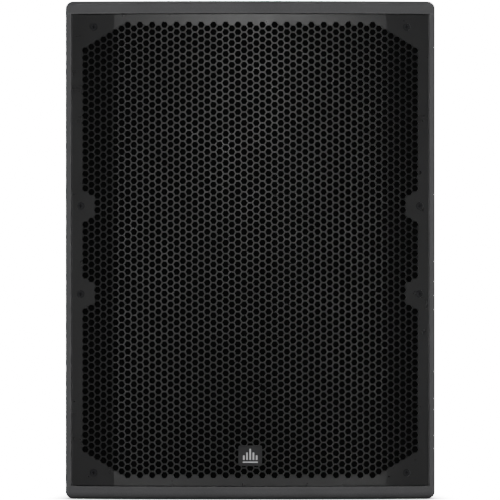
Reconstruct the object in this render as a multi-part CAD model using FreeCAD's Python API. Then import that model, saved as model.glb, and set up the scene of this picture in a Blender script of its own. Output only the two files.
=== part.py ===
import FreeCAD, Part

import math
import os

# Two-way passive loudspeaker cabinet, millimetres.
# The front faces -Y, +Z is up, the origin is the centre of the footprint on the floor.

V = FreeCAD.Vector

# ---- driving dimensions -------------------------------------------------------------------
WIDTH = 508.0                      # across the front corners
HEIGHT = 685.0
DEPTH = 457.0                      # crown of the bowed front to the rear edge
PLY = 18.0                         # top, bottom, baffle, brace and rear boards
SIDE_PLY = 15.0                    # side boards
TAPER = math.radians(10.0)         # each side leans in towards the rear
CREASE_X = 186.5                   # where the bowed front turns into a flat facet
FACET = math.radians(8.5)
BOW = math.radians(4.8)            # slope of the bow at the crease
EDGE_R = 10.0                      # rounded edges of the top and bottom boards
FRONT_CORNER_R = 2.5               # upright front corners
REAR_CORNER_R = 6.0                # upright rear corners

LIP = 8.2                          # side board left standing beside the grille
GRILLE_RECESS = 2.5
GRILLE_T = 1.5
GRILLE_GAP = 1.0
FOAM_T = 8.0
SOFT_GAP = 0.3                     # kept between a soft body and its neighbours

BAFFLE_RECESS = 50.5               # crown of the front to the baffle face
REAR_RECESS = 6.0                  # rear edge of the cabinet to the rear board

HALF_W = WIDTH / 2 + 0.4           # to the sharp corner, before it is rounded
FRONT = -DEPTH / 2
REAR = DEPTH / 2
BOW_R = CREASE_X / math.sin(BOW)
CREASE_Y = FRONT + BOW_R * (1 - math.cos(BOW))
CORNER_Y = CREASE_Y + (HALF_W - CREASE_X) * math.tan(FACET)
INSIDE_Z0 = PLY
INSIDE_Z1 = HEIGHT - PLY
INSIDE_H = INSIDE_Z1 - INSIDE_Z0
BAFFLE_F = FRONT + BAFFLE_RECESS
BAFFLE_R = BAFFLE_F + PLY
REAR_OUT = REAR - REAR_RECESS
REAR_IN = REAR_OUT - PLY
GRILLE_BACK = GRILLE_RECESS + GRILLE_T
FOAM_FRONT = GRILLE_BACK + SOFT_GAP
FOAM_BACK = FOAM_FRONT + FOAM_T


# ---- shape helpers ------------------------------------------------------------------------
def box(x0, x1, y0, y1, z0, z1):
    return Part.makeBox(x1 - x0, y1 - y0, z1 - z0, V(x0, y0, z0))


def cyl_y(radius, y0, y1, x=0.0, z=0.0):
    return Part.makeCylinder(radius, y1 - y0, V(x, y0, z), V(0, 1, 0))


def cyl_z(radius, z0, z1, x=0.0, y=0.0):
    return Part.makeCylinder(radius, z1 - z0, V(x, y, z0), V(0, 0, 1))


def ring_y(inner, outer, y0, y1, x=0.0, z=0.0):
    return cyl_y(outer, y0, y1, x, z).cut(cyl_y(inner, y0 - 1, y1 + 1, x, z))


def ring_z(inner, outer, z0, z1, x=0.0, y=0.0):
    return cyl_z(outer, z0, z1, x, y).cut(cyl_z(inner, z0 - 1, z1 + 1, x, y))


def turned_y(profile, z):
    """A solid turned about the Y direction at height z, from (radius, y) points."""
    points = [V(r, y, z) for r, y in profile]
    face = Part.Face(Part.makePolygon(points + points[:1]))
    return face.revolve(V(0, 0, z), V(0, 1, 0), 360)


def turned_about(profile, origin, axis):
    """A solid turned about any axis, from (radius, distance along the axis) points."""
    points = [V(r, 0, h) for r, h in profile]
    face = Part.Face(Part.makePolygon(points + points[:1]))
    solid = face.revolve(V(0, 0, 0), V(0, 0, 1), 360)
    turn = FreeCAD.Rotation(V(0, 0, 1), axis)
    solid.Placement = FreeCAD.Placement(origin, turn).multiply(solid.Placement)
    return solid


def joined(shapes):
    whole = shapes[0].multiFuse(shapes[1:]) if len(shapes) > 1 else shapes[0]
    return whole.removeSplitter()


def less(shape, cutters):
    for cutter in cutters:
        shape = shape.cut(cutter)
    return shape


def edges_along(shape, axis):
    """The straight edges that run parallel to an axis."""
    found = []
    for edge in shape.Edges:
        if len(edge.Vertexes) != 2 or not isinstance(edge.Curve, (Part.Line, Part.LineSegment)):
            continue
        run = edge.Vertexes[1].Point - edge.Vertexes[0].Point
        if abs(run.normalize().dot(axis)) > 0.9999:
            found.append(edge)
    return found


def soft_box(x0, x1, y0, y1, z0, z1, axis, radius):
    """A box whose edges along one axis are rounded."""
    shape = box(x0, x1, y0, y1, z0, z1)
    return shape.makeFillet(radius, edges_along(shape, axis))


def routed_tube(points, radius):
    """A round wire bent along straight runs joined by tangent arcs."""
    points = [V(*p) for p in points]
    pieces = []
    start = points[0]
    for before, corner, after in zip(points, points[1:], points[2:]):
        into = (corner - before).normalize()
        out = (after - corner).normalize()
        half = math.acos(max(-1.0, min(1.0, into.dot(out)))) / 2
        shorter = min((corner - before).Length, (after - corner).Length)
        trim = 0.45 * shorter
        bend = trim / math.tan(half)
        first = corner - into * trim
        last = corner + out * trim
        inward = (out - into).normalize()
        centre = corner + inward * math.hypot(bend, trim)
        middle = centre - inward * bend
        pieces.append(Part.LineSegment(start, first).toShape())
        pieces.append(Part.Arc(first, middle, last).toShape())
        start = last
    pieces.append(Part.LineSegment(start, points[-1]).toShape())
    path = Part.Wire(pieces)
    heading = (points[1] - points[0]).normalize()
    section = Part.Wire([Part.Circle(points[0], heading, radius).toShape()])
    return path.makePipeShell([section], True, False)


# ---- plan of the cabinet ------------------------------------------------------------------
def side_x(inset, y):
    """Half width of the plan at depth y, measured inset into the side board."""
    return HALF_W - inset / math.cos(TAPER) - (y - CORNER_Y) * math.tan(TAPER)


def front_y(x, shift=0.0):
    """Depth of the bowed front at x, moved back by shift."""
    x = abs(x)
    if x <= CREASE_X:
        return FRONT + shift + BOW_R - math.sqrt(BOW_R ** 2 - x ** 2)
    return CREASE_Y + shift + (x - CREASE_X) * math.tan(FACET)


def corner(shift, inset):
    """Where the front line moved back by shift meets the side line moved in by inset."""
    slope = math.tan(FACET)
    lean = math.tan(TAPER)
    start = HALF_W - inset / math.cos(TAPER)
    base = CREASE_Y + shift - CREASE_X * slope
    x = (start - (base - CORNER_Y) * lean) / (1 + slope * lean)
    return V(x, base + x * slope, 0)


def mirrored(point):
    return V(-point.x, point.y, point.z)


def front_edges(shift, end):
    """Facet, bow and facet of the front line, from the left end to the right end."""
    crease = V(CREASE_X, CREASE_Y + shift, 0)
    crown = V(0, FRONT + shift, 0)
    return [
        Part.LineSegment(mirrored(end), mirrored(crease)).toShape(),
        Part.Arc(mirrored(crease), crown, crease).toShape(),
        Part.LineSegment(crease, end).toShape(),
    ]


def bowed_sheet(shift0, shift1, inset, z0, z1):
    """A sheet that follows the bowed front between two depths."""
    near = corner(shift0, inset)
    far = corner(shift1, inset)
    near_edges = front_edges(shift0, near)
    far_edges = front_edges(shift1, far)
    ends = [Part.LineSegment(near, far).toShape(),
            Part.LineSegment(mirrored(near), mirrored(far)).toShape()]
    wire = Part.Wire(Part.__sortEdges__(near_edges + far_edges + ends))
    sheet = Part.Face(wire).extrude(V(0, 0, z1 - z0))
    sheet.translate(V(0, 0, z0))
    return sheet


def upright_prism(points, z0, z1):
    face = Part.Face(Part.makePolygon(points + points[:1]))
    solid = face.extrude(V(0, 0, z1 - z0))
    solid.translate(V(0, 0, z0))
    return solid


def between_sides(inset, y0, y1, z0, z1):
    """A board that fills the tapered space between the side boards."""
    points = [V(side_x(inset, y0), y0, 0), V(side_x(inset, y1), y1, 0),
              V(-side_x(inset, y1), y1, 0), V(-side_x(inset, y0), y0, 0)]
    return upright_prism(points, z0, z1)


def end_board(z0, z1, outer_z):
    """Top or bottom board with its outer edges rounded."""
    near = corner(0.0, 0.0)
    far = V(side_x(0.0, REAR), REAR, 0)
    edges = front_edges(0.0, near)
    edges.append(Part.LineSegment(near, far).toShape())
    edges.append(Part.LineSegment(far, mirrored(far)).toShape())
    edges.append(Part.LineSegment(mirrored(far), mirrored(near)).toShape())
    board = Part.Face(Part.Wire(edges)).extrude(V(0, 0, z1 - z0))
    board.translate(V(0, 0, z0))
    uprights = edges_along(board, V(0, 0, 1))
    front_corners = [e for e in uprights if abs(abs(e.Vertexes[0].X) - near.x) < 1e-3]
    board = board.makeFillet(FRONT_CORNER_R, front_corners)
    uprights = edges_along(board, V(0, 0, 1))
    rear_corners = [e for e in uprights if abs(e.Vertexes[0].Y - REAR) < 1e-3
                    and abs(abs(e.Vertexes[0].X) - far.x) < 1e-3]
    board = board.makeFillet(REAR_CORNER_R, rear_corners)
    rim = [e for e in board.Edges
           if all(abs(v.Z - outer_z) < 1e-6 for v in e.Vertexes)]
    return board.makeFillet(EDGE_R, rim)


def side_board():
    """Right side board, with the step that the grille rests on."""
    tip = corner(0.0, 0.0)
    points = [
        tip,
        V(side_x(0.0, REAR), REAR, 0),
        V(side_x(SIDE_PLY, REAR), REAR, 0),
        corner(GRILLE_BACK, SIDE_PLY),
        corner(GRILLE_BACK, LIP),
        corner(0.0, LIP),
    ]
    board = upright_prism(points, INSIDE_Z0, INSIDE_Z1)
    uprights = edges_along(board, V(0, 0, 1))
    board = board.makeFillet(FRONT_CORNER_R,
                             [e for e in uprights if abs(e.Vertexes[0].X - tip.x) < 1e-3])
    uprights = edges_along(board, V(0, 0, 1))
    far = side_x(0.0, REAR)
    return board.makeFillet(REAR_CORNER_R,
                            [e for e in uprights if abs(e.Vertexes[0].X - far) < 1e-3])


def flip(shape):
    """The same piece on the other side of the cabinet."""
    return shape.mirror(V(0, 0, 0), V(1, 0, 0))


# ---- positions of the fitted parts --------------------------------------------------------
WOOFER_Z = 223.0
WOOFER_CUT_R = 176.5
WOOFER_BOLT_R = 186.5
WOOFER_BOLTS = 8
HORN_Z = 540.0
HORN_FLANGE = (128.0, 100.0)       # half width and half height
HORN_CUT = (116.0, 90.0)
PORT_X = 168.0
PORT_R = 30.0
PORT_WALL = 2.5
PORT_LIP_R = 36.0
PORT_LENGTH = 110.0
HANDLE_Y = 0.0
HANDLE_Z = 430.0
POLE_Y = -10.0
POLE_R = 18.0
POLE_DEPTH = 95.0
POLE_FLANGE_R = 55.0
POLE_TUBE_R = 21.0
INSERT_BARREL_R = 7.0
INSERT_FLANGE_R = 14.0
INSERT_FLANGE_T = 2.5
THREAD_CORE_R = 4.25               # M10
INSERT_XY = (110.0, 20.0)
REAR_INSERT_Z = 610.0
DISH_Z = 140.0
DISH_FLANGE = (90.0, 55.0)
DISH_POCKET = (72.0, 37.0)
DISH_WALL = 3.0
DISH_DEPTH = 42.0
BRACE_Z = 344.0
BRACE_FRONT = -45.0

PORTS = [(side * PORT_X, HORN_Z) for side in (-1, 1)]


def around(count, radius, start=0.0):
    """Evenly spaced (across, up) offsets on a circle."""
    step = 2 * math.pi / count
    return [(radius * math.sin(start + i * step), radius * math.cos(start + i * step))
            for i in range(count)]


WOOFER_BOLT_AT = around(WOOFER_BOLTS, WOOFER_BOLT_R, math.pi / WOOFER_BOLTS)
HORN_SCREW_X = (HORN_FLANGE[0] + HORN_CUT[0]) / 2
HORN_SCREW_Z = (HORN_FLANGE[1] + HORN_CUT[1]) / 2
HORN_SCREWS = [(x, z) for x in (-HORN_SCREW_X, 0.0, HORN_SCREW_X)
               for z in (-HORN_SCREW_Z, 0.0, HORN_SCREW_Z) if x or z]
DISH_SCREWS = [(x, z) for x in (-82.0, 0.0, 82.0) for z in (-47.0, 47.0)]
HANDLE_SCREWS = [(y, z) for y in (-86.0, 0.0, 86.0) for z in (-56.0, 56.0)]
POLE_SCREWS = around(4, 42.0, math.pi / 4)
BOTTOM_INSERTS = [(side * INSERT_XY[0], INSERT_XY[1]) for side in (-1, 1)]

# ---- grille screws: two rows near the corners and one pair half way up each side ----------
GRILLE_SCREWS = [(side * x, z) for side in (-1, 1)
                 for x, z in ((215.0, 649.0), (233.0, 403.0), (233.0, 282.0), (215.0, 36.4))]
GRILLE_SCREW_SHANK_R = 2.1
GRILLE_SCREW_HEAD_R = 4.5
GRILLE_SCREW_HEAD_T = 2.6
GRILLE_SCREW_LENGTH = 30.0


def facet_axis(x):
    """Direction straight out of the facet on the side of x."""
    return V(math.copysign(math.sin(FACET), x), -math.cos(FACET), 0)


def facet_point(x, z, shift):
    return V(x, front_y(x, shift), z)


def grille_screw(x, z):
    """Countersunk wood screw, its head flush with the grille, with a cross recess."""
    inward = facet_axis(x) * -1
    head = [(0, 0), (GRILLE_SCREW_HEAD_R, 0), (GRILLE_SCREW_HEAD_R, 0.4),
            (GRILLE_SCREW_SHANK_R, GRILLE_SCREW_HEAD_T),
            (GRILLE_SCREW_SHANK_R, GRILLE_SCREW_LENGTH - 4),
            (0.4, GRILLE_SCREW_LENGTH), (0, GRILLE_SCREW_LENGTH)]
    screw = turned_about(head, facet_point(x, z, GRILLE_RECESS), inward)
    slot = box(-0.5, 0.5, -2.4, 2.4, -1, 1.6)
    cross = slot.fuse(box(-2.4, 2.4, -0.5, 0.5, -1, 1.6))
    turn = FreeCAD.Rotation(V(0, 0, 1), inward)
    cross.Placement = FreeCAD.Placement(facet_point(x, z, GRILLE_RECESS), turn)
    return screw.cut(cross)


def grille_screw_hole(x, z, clearance):
    """Room for one grille screw, a little larger than the screw."""
    inward = facet_axis(x) * -1
    shank = GRILLE_SCREW_SHANK_R + clearance
    rim = GRILLE_SCREW_HEAD_R + clearance
    profile = [(0, -3), (rim, -3), (rim, 0.4), (shank, GRILLE_SCREW_HEAD_T),
               (shank, GRILLE_SCREW_LENGTH + 0.5), (0, GRILLE_SCREW_LENGTH + 0.5)]
    return turned_about(profile, facet_point(x, z, GRILLE_RECESS), inward)


def pan_screw(origin, axis, shank_r, length, head_r, head_t):
    """Pan-head screw seated at origin; axis points out of the head."""
    into = axis * -1
    profile = [(0, -head_t), (head_r * 0.6, -head_t), (head_r, -head_t * 0.45), (head_r, 0),
               (shank_r, 0), (shank_r, length - 2 * shank_r), (0.3, length), (0, length)]
    screw = turned_about(profile, origin, into)
    reach = head_r * 0.5
    cross = box(-0.4, 0.4, -reach, reach, -head_t - 1, -head_t * 0.3)
    cross = cross.fuse(box(-reach, reach, -0.4, 0.4, -head_t - 1, -head_t * 0.3))
    cross.Placement = FreeCAD.Placement(origin, FreeCAD.Rotation(V(0, 0, 1), into))
    return screw.cut(cross)


# ---- handles: drawn on a plain wall at x = 0 with the outside at +X, then set in place ----
HANDLE_POCKET = (75.0, 45.0)
HANDLE_FLANGE = (95.0, 65.0)
HANDLE_WALL = 2.5
HANDLE_FLANGE_T = 3.0
HANDLE_DEPTH = 54.5
GRIP_DROP = 14.0
GRIP_UP = 20.0


def on_right_side(shape):
    """Set a piece drawn at x = 0 against the outer face of the right side board."""
    turn = FreeCAD.Rotation(V(0, 0, 1), math.degrees(TAPER))
    centre = V(side_x(0.0, HANDLE_Y), HANDLE_Y, HANDLE_Z)
    placed = shape.copy()
    placed.Placement = FreeCAD.Placement(centre, turn).multiply(placed.Placement)
    return placed


def handle_cup():
    half_y, half_z = HANDLE_POCKET
    flange = soft_box(0, HANDLE_FLANGE_T, -HANDLE_FLANGE[0], HANDLE_FLANGE[0],
                      -HANDLE_FLANGE[1], HANDLE_FLANGE[1], V(1, 0, 0), 15.0)
    outer = soft_box(-HANDLE_DEPTH - HANDLE_WALL, 1, -half_y - HANDLE_WALL,
                     half_y + HANDLE_WALL, -half_z - HANDLE_WALL, half_z + HANDLE_WALL,
                     V(1, 0, 0), 14.5)
    hollow = soft_box(-HANDLE_DEPTH, HANDLE_FLANGE_T + 2, -half_y, half_y,
                      -half_z, half_z, V(1, 0, 0), 12.0)
    floor_edges = [e for e in hollow.Edges
                   if all(abs(v.X + HANDLE_DEPTH) < 1e-6 for v in e.Vertexes)]
    hollow = hollow.makeFillet(8.0, floor_edges)
    outer_edges = [e for e in outer.Edges
                   if all(abs(v.X + HANDLE_DEPTH + HANDLE_WALL) < 1e-6 for v in e.Vertexes)]
    outer = outer.makeFillet(10.0, outer_edges)
    holes = [Part.makeCylinder(2.3, 10, V(-1, y, z), V(1, 0, 0)) for y, z in HANDLE_SCREWS]
    return less(joined([flange, outer]), [hollow] + holes)


def handle_opening():
    """Hole in the side board for the cup and the pilot holes of its screws."""
    half_y, half_z = HANDLE_POCKET
    gap = HANDLE_WALL + 0.5
    pocket = soft_box(-40, 5, -half_y - gap, half_y + gap, -half_z - gap, half_z + gap,
                      V(1, 0, 0), 15.0)
    pilots = [Part.makeCylinder(2.0, 16, V(-14, y, z), V(1, 0, 0)) for y, z in HANDLE_SCREWS]
    return joined([pocket]).fuse(Part.makeCompound(pilots))


def handle_grip():
    """Bar across the pocket, thicker in the middle."""
    half = HANDLE_POCKET[0]
    profile = [(0, -half), (9, -half), (9, -half + 12), (11, -half + 18), (12.5, -20),
               (12.5, 20), (11, half - 18), (9, half - 12), (9, half), (0, half)]
    return turned_about(profile, V(-GRIP_DROP, 0, GRIP_UP), V(0, 1, 0))


# ---- cabinet boards -----------------------------------------------------------------------
def insert_shape(origin, axis):
    """Flanged M10 insert: axis points out of the cabinet, origin is on the outer face."""
    into = axis * -1
    profile = [(THREAD_CORE_R, 0), (INSERT_BARREL_R, 0), (INSERT_BARREL_R, PLY),
               (INSERT_FLANGE_R, PLY), (INSERT_FLANGE_R, PLY + INSERT_FLANGE_T),
               (THREAD_CORE_R, PLY + INSERT_FLANGE_T)]
    return turned_about(profile, origin, into)


def inserts():
    found = []
    for x, y in BOTTOM_INSERTS:
        found.append(insert_shape(V(x, y, HEIGHT), V(0, 0, 1)))
        found.append(insert_shape(V(x, y, 0), V(0, 0, -1)))
    found.append(insert_shape(V(0, REAR_OUT, REAR_INSERT_Z), V(0, 1, 0)))
    return found


def top_panel():
    board = end_board(INSIDE_Z1, HEIGHT, HEIGHT)
    return less(board, [cyl_z(INSERT_BARREL_R, INSIDE_Z1 - 1, HEIGHT + 1, x, y)
                        for x, y in BOTTOM_INSERTS])


def bottom_panel():
    board = end_board(0.0, PLY, 0.0)
    cutters = [cyl_z(INSERT_BARREL_R, -1, PLY + 1, x, y) for x, y in BOTTOM_INSERTS]
    cutters.append(cyl_z(POLE_FLANGE_R + 0.3, -1, 3.0, 0, POLE_Y))
    cutters.append(cyl_z(POLE_TUBE_R + 0.3, -1, PLY + 1, 0, POLE_Y))
    cutters += [cyl_z(2.0, 2, 16, x, POLE_Y + y) for x, y in POLE_SCREWS]
    return less(board, cutters)


def batten():
    """Right-hand strip that takes the grille screws."""
    inner_x = 205.0
    back = FOAM_BACK + SOFT_GAP
    points = [
        V(inner_x, front_y(inner_x, back), 0),
        corner(back, SIDE_PLY),
        V(side_x(SIDE_PLY, BAFFLE_F), BAFFLE_F, 0),
        V(inner_x, BAFFLE_F, 0),
    ]
    strip = upright_prism(points, INSIDE_Z0, INSIDE_Z1)
    return less(strip, [grille_screw_hole(x, z, 0.0) for x, z in GRILLE_SCREWS if x > 0])


def baffle():
    board = between_sides(SIDE_PLY, BAFFLE_F, BAFFLE_R, INSIDE_Z0, INSIDE_Z1)
    cutters = [cyl_y(WOOFER_CUT_R, BAFFLE_F - 1, BAFFLE_R + 1, 0, WOOFER_Z)]
    cutters.append(soft_box(-HORN_CUT[0], HORN_CUT[0], BAFFLE_F - 1, BAFFLE_R + 1,
                            HORN_Z - HORN_CUT[1], HORN_Z + HORN_CUT[1], V(0, 1, 0), 15.0))
    cutters += [cyl_y(PORT_R + PORT_WALL, BAFFLE_F - 1, BAFFLE_R + 1, x, z) for x, z in PORTS]
    for x, z in WOOFER_BOLT_AT:
        cutters.append(cyl_y(3.3, BAFFLE_F - 1, BAFFLE_R + 1, x, WOOFER_Z + z))
        cutters.append(cyl_y(4.0, BAFFLE_R - 12, BAFFLE_R + 1, x, WOOFER_Z + z))
    cutters += [cyl_y(2.0, BAFFLE_F - 1, BAFFLE_F + 14, x, HORN_Z + z) for x, z in HORN_SCREWS]
    cutters += [grille_screw_hole(x, z, 0.0) for x, z in GRILLE_SCREWS]
    return less(board, cutters)


def rear_panel():
    board = between_sides(SIDE_PLY, REAR_IN, REAR_OUT, INSIDE_Z0, INSIDE_Z1)
    gap = DISH_WALL + 0.5
    cutters = [soft_box(-DISH_POCKET[0] - gap, DISH_POCKET[0] + gap, REAR_IN - 1, REAR_OUT + 1,
                        DISH_Z - DISH_POCKET[1] - gap, DISH_Z + DISH_POCKET[1] + gap,
                        V(0, 1, 0), 12.0)]
    cutters += [cyl_y(1.8, REAR_OUT - 15, REAR_OUT + 1, x, DISH_Z + z) for x, z in DISH_SCREWS]
    cutters.append(cyl_y(INSERT_BARREL_R, REAR_IN - 1, REAR_OUT + 1, 0, REAR_INSERT_Z))
    return less(board, cutters)


def brace():
    """Shelf brace between sides and rear, with two windows."""
    z0 = BRACE_Z - PLY / 2
    z1 = BRACE_Z + PLY / 2
    board = between_sides(SIDE_PLY, BRACE_FRONT, REAR_IN, z0, z1)
    windows = [soft_box(x0, x0 + 105, BRACE_FRONT + 35, REAR_IN - 40, z0 - 1, z1 + 1,
                        V(0, 0, 1), 20.0) for x0 in (-130.0, 25.0)]
    return less(board, windows)


# ---- grille, foam and badge ---------------------------------------------------------------
BADGE_W = 32.5
BADGE_Z0 = 46.3
BADGE_Z1 = 74.3
BADGE_T = 2.0
BADGE_PINS = [(side * 11.0, (BADGE_Z0 + BADGE_Z1) / 2) for side in (-1, 1)]
GRILLE_FACE = FRONT + GRILLE_RECESS


def grille():
    sheet = bowed_sheet(GRILLE_RECESS, GRILLE_BACK, LIP + GRILLE_GAP,
                        INSIDE_Z0 + GRILLE_GAP, INSIDE_Z1 - GRILLE_GAP)
    holes = [grille_screw_hole(x, z, 0.05) for x, z in GRILLE_SCREWS]
    holes += [cyl_y(1.6, GRILLE_FACE - 2, GRILLE_FACE + 5, x, z) for x, z in BADGE_PINS]
    return less(sheet, holes)


def grille_foam():
    inset = SIDE_PLY + SOFT_GAP + 0.3
    sheet = bowed_sheet(FOAM_FRONT, FOAM_BACK, inset, INSIDE_Z0 + GRILLE_GAP,
                        INSIDE_Z1 - GRILLE_GAP)
    return less(sheet, [grille_screw_hole(x, z, 1.0) for x, z in GRILLE_SCREWS])


def badge_plate():
    plate = soft_box(-BADGE_W / 2, BADGE_W / 2, GRILLE_FACE - BADGE_T, GRILLE_FACE,
                     BADGE_Z0, BADGE_Z1, V(0, 1, 0), 2.5)
    pins = [cyl_y(1.5, GRILLE_FACE - 0.5, GRILLE_FACE + GRILLE_T, x, z) for x, z in BADGE_PINS]
    recess = soft_box(-BADGE_W / 2 + 1.5, BADGE_W / 2 - 1.5, GRILLE_FACE - BADGE_T - 1,
                      GRILLE_FACE - BADGE_T + 0.4, BADGE_Z0 + 1.5, BADGE_Z1 - 1.5,
                      V(0, 1, 0), 1.5)
    return joined([plate] + pins).cut(recess)


def badge_emblem():
    """Five upright level bars over one base line."""
    face = GRILLE_FACE - BADGE_T
    floor = face + 0.4
    bars = []
    base = BADGE_Z0 + 8.5
    for i, height in enumerate((6.0, 10.0, 15.0, 10.0, 6.0)):
        x = (i - 2) * 4.4
        bars.append(box(x - 1.1, x + 1.1, face - 0.3, floor, base, base + height))
    bars.append(box(-10.2, 10.2, face - 0.3, floor, BADGE_Z0 + 4.6, BADGE_Z0 + 6.0))
    return Part.makeCompound(bars)


# ---- woofer -------------------------------------------------------------------------------
FLANGE_R = 193.5
FLANGE_T = 6.0
SEAT_Y = BAFFLE_F - FLANGE_T        # front of the woofer flange
CLOTH = 0.6
ROLL_R0 = 150.0                     # cone edge
ROLL_R1 = 169.0                     # inner edge of the flange
LAND_R1 = 180.0
SHELF_Y = -108.0
PLATE_Y = -88.0                     # front of the top plate
PLATE_T = 10.0
MAGNET_T = 24.0
YOKE_T = 10.0
POLE_PIECE_R = 36.6
GAP_R = 40.0
COIL_IN = 37.6
COIL_FORMER = 38.0
COIL_OUT = 38.9


def woofer_basket():
    """Cast frame: front flange, six arms, spider shelf and rear ring."""
    profile = [(FLANGE_R, SEAT_Y), (FLANGE_R, BAFFLE_F), (175.5, BAFFLE_F), (175.5, BAFFLE_R),
               (104, SHELF_Y + 4), (104, PLATE_Y), (45, PLATE_Y), (45, PLATE_Y - 5),
               (80, PLATE_Y - 5), (80, SHELF_Y), (98, SHELF_Y), (ROLL_R1, BAFFLE_R - 4),
               (ROLL_R1, SEAT_Y)]
    shell = turned_y(profile, WOOFER_Z)
    windows = []
    for i in range(6):
        face = Part.Face(Part.makePolygon([V(112, -190, WOOFER_Z), V(165, -190, WOOFER_Z),
                                           V(165, -80, WOOFER_Z), V(112, -80, WOOFER_Z),
                                           V(112, -190, WOOFER_Z)]))
        window = face.revolve(V(0, 0, WOOFER_Z), V(0, 1, 0), 36)
        window.rotate(V(0, 0, WOOFER_Z), V(0, 1, 0), 60 * i + 12)
        windows.append(window)
    bolts = [cyl_y(3.3, SEAT_Y - 1, BAFFLE_F + 1, x, WOOFER_Z + z) for x, z in WOOFER_BOLT_AT]
    return less(shell, windows + bolts)


def woofer_gasket():
    return ring_y(ROLL_R1 + 1, LAND_R1, SEAT_Y - CLOTH - 3, SEAT_Y - CLOTH, 0, WOOFER_Z)


def woofer_surround():
    """Cloth half roll between the cone and the flange."""
    y0 = SEAT_Y - CLOTH
    mid = (ROLL_R0 + ROLL_R1) / 2
    outer = (ROLL_R1 - ROLL_R0) / 2 + CLOTH / 2
    inner = outer - CLOTH
    steps = 12
    over = [(mid + outer * math.cos(math.pi * i / steps),
             SEAT_Y - CLOTH - outer * math.sin(math.pi * i / steps)) for i in range(steps + 1)]
    under = [(mid + inner * math.cos(math.pi * i / steps),
              SEAT_Y - CLOTH - inner * math.sin(math.pi * i / steps))
             for i in range(1, steps)]
    profile = [(LAND_R1, SEAT_Y), (LAND_R1, y0)] + over + [(144, y0), (144, SEAT_Y)]
    profile += [(mid - inner, SEAT_Y)] + list(reversed(under)) + [(mid + inner, SEAT_Y)]
    return turned_y(profile, WOOFER_Z)


CONE_NECK_Y = -122.0
CONE_RIM_R = 144.0
CONE_T = 1.4


def cone_y(radius):
    """Front face of the cone, a little flared towards the rim."""
    part = (radius - COIL_FORMER) / (CONE_RIM_R - COIL_FORMER)
    drop = SEAT_Y - CONE_NECK_Y
    return CONE_NECK_Y + drop * (0.75 * part + 0.25 * part ** 2)


def woofer_cone():
    steps = 8
    radii = [COIL_FORMER + (CONE_RIM_R - COIL_FORMER) * i / steps for i in range(steps + 1)]
    front = [(r, cone_y(r)) for r in radii] + [(ROLL_R0, SEAT_Y)]
    back = [(r, y + CONE_T) for r, y in front]
    return turned_y(front + list(reversed(back)), WOOFER_Z)


DUST_CAP_R = 56.0
DUST_CAP_RISE = 15.0


def dome(radius, rise, thickness, base_y, z, steps=8):
    """Thin dome rising towards -Y from a circle."""
    ball = (radius ** 2 + rise ** 2) / (2 * rise)
    centre = base_y - rise + ball
    reach = math.asin(radius / ball)
    outside = [(ball * math.sin(reach * i / steps), centre - ball * math.cos(reach * i / steps))
               for i in range(steps + 1)]
    small = ball - thickness
    inside = [(small * math.sin(reach * i / steps),
               centre - small * math.cos(reach * i / steps)) for i in range(steps + 1)]
    return turned_y(outside + list(reversed(inside)), z)


def woofer_dust_cap():
    cap = dome(DUST_CAP_R, DUST_CAP_RISE, 0.8, cone_y(DUST_CAP_R), WOOFER_Z)
    return cap.cut(woofer_cone())


def woofer_coil():
    """Former glued in the cone neck, carrying the winding."""
    profile = [(COIL_IN, CONE_NECK_Y - 6), (COIL_FORMER, CONE_NECK_Y - 6),
               (COIL_FORMER, -91), (COIL_OUT, -91), (COIL_OUT, -75), (COIL_FORMER, -75),
               (COIL_FORMER, -74), (COIL_IN, -74)]
    return turned_y(profile, WOOFER_Z)


def woofer_spider():
    """Corrugated cloth disc that centres the coil."""
    inner = COIL_FORMER
    outer = 97.0
    start = inner + 4
    end = 82.0
    waves = 5
    samples = waves * 8
    front = [(inner, SHELF_Y - CLOTH)]
    for i in range(samples + 1):
        r = start + (end - start) * i / samples
        front.append((r, SHELF_Y - CLOTH + 2.2 * math.sin(2 * math.pi * waves * i / samples)))
    front.append((outer, SHELF_Y - CLOTH))
    back = [(r, y + CLOTH) for r, y in front]
    return turned_y(front + list(reversed(back)), WOOFER_Z)


def woofer_yoke():
    """Back plate and pole piece in one, with a vent through the middle."""
    back = PLATE_Y + PLATE_T + MAGNET_T
    profile = [(12, PLATE_Y), (POLE_PIECE_R, PLATE_Y), (POLE_PIECE_R, back), (83, back),
               (85, back + 2), (85, back + YOKE_T - 2), (83, back + YOKE_T),
               (18, back + YOKE_T), (12, back + YOKE_T - 6)]
    return turned_y(profile, WOOFER_Z)


def woofer_terminals():
    """Two-blade terminal block on the rim of the basket shelf."""
    block = box(-15, 15, -103, -91, WOOFER_Z + 100, WOOFER_Z + 114)
    blades = [box(x - 2.4, x + 2.4, -98.5, -97.7, WOOFER_Z + 113, WOOFER_Z + 121)
              for x in (-8, 8)]
    block = block.cut(cyl_y(104, -110, -80, 0, WOOFER_Z))
    return joined([block] + blades)


def woofer_bolt(x, z):
    """Socket-head bolt through flange and baffle."""
    head = [(0, -5), (3.6, -5), (5, -4.2), (5, 0), (2.95, 0), (2.95, 26), (0, 26)]
    bolt = turned_about(head, V(x, SEAT_Y, z), V(0, 1, 0))
    socket = turned_about([(0, -6), (2.4, -6), (2.4, -2), (0, -2)], V(x, SEAT_Y, z), V(0, 1, 0))
    return bolt.cut(socket)


def tee_nut(x, z):
    barrel = ring_y(3.0, 4.0, BAFFLE_R - 12, BAFFLE_R + 1.5, x, z)
    return joined([barrel, ring_y(3.0, 9.5, BAFFLE_R, BAFFLE_R + 1.5, x, z)])


# ---- horn and compression driver ----------------------------------------------------------
THROAT_R = 12.7
THROAT_Y = -70.0
HORN_WALL = 4.0
HORN_MOUTH = (112.0, 86.0)
HORN_FACE = BAFFLE_F - 5.0


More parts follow.
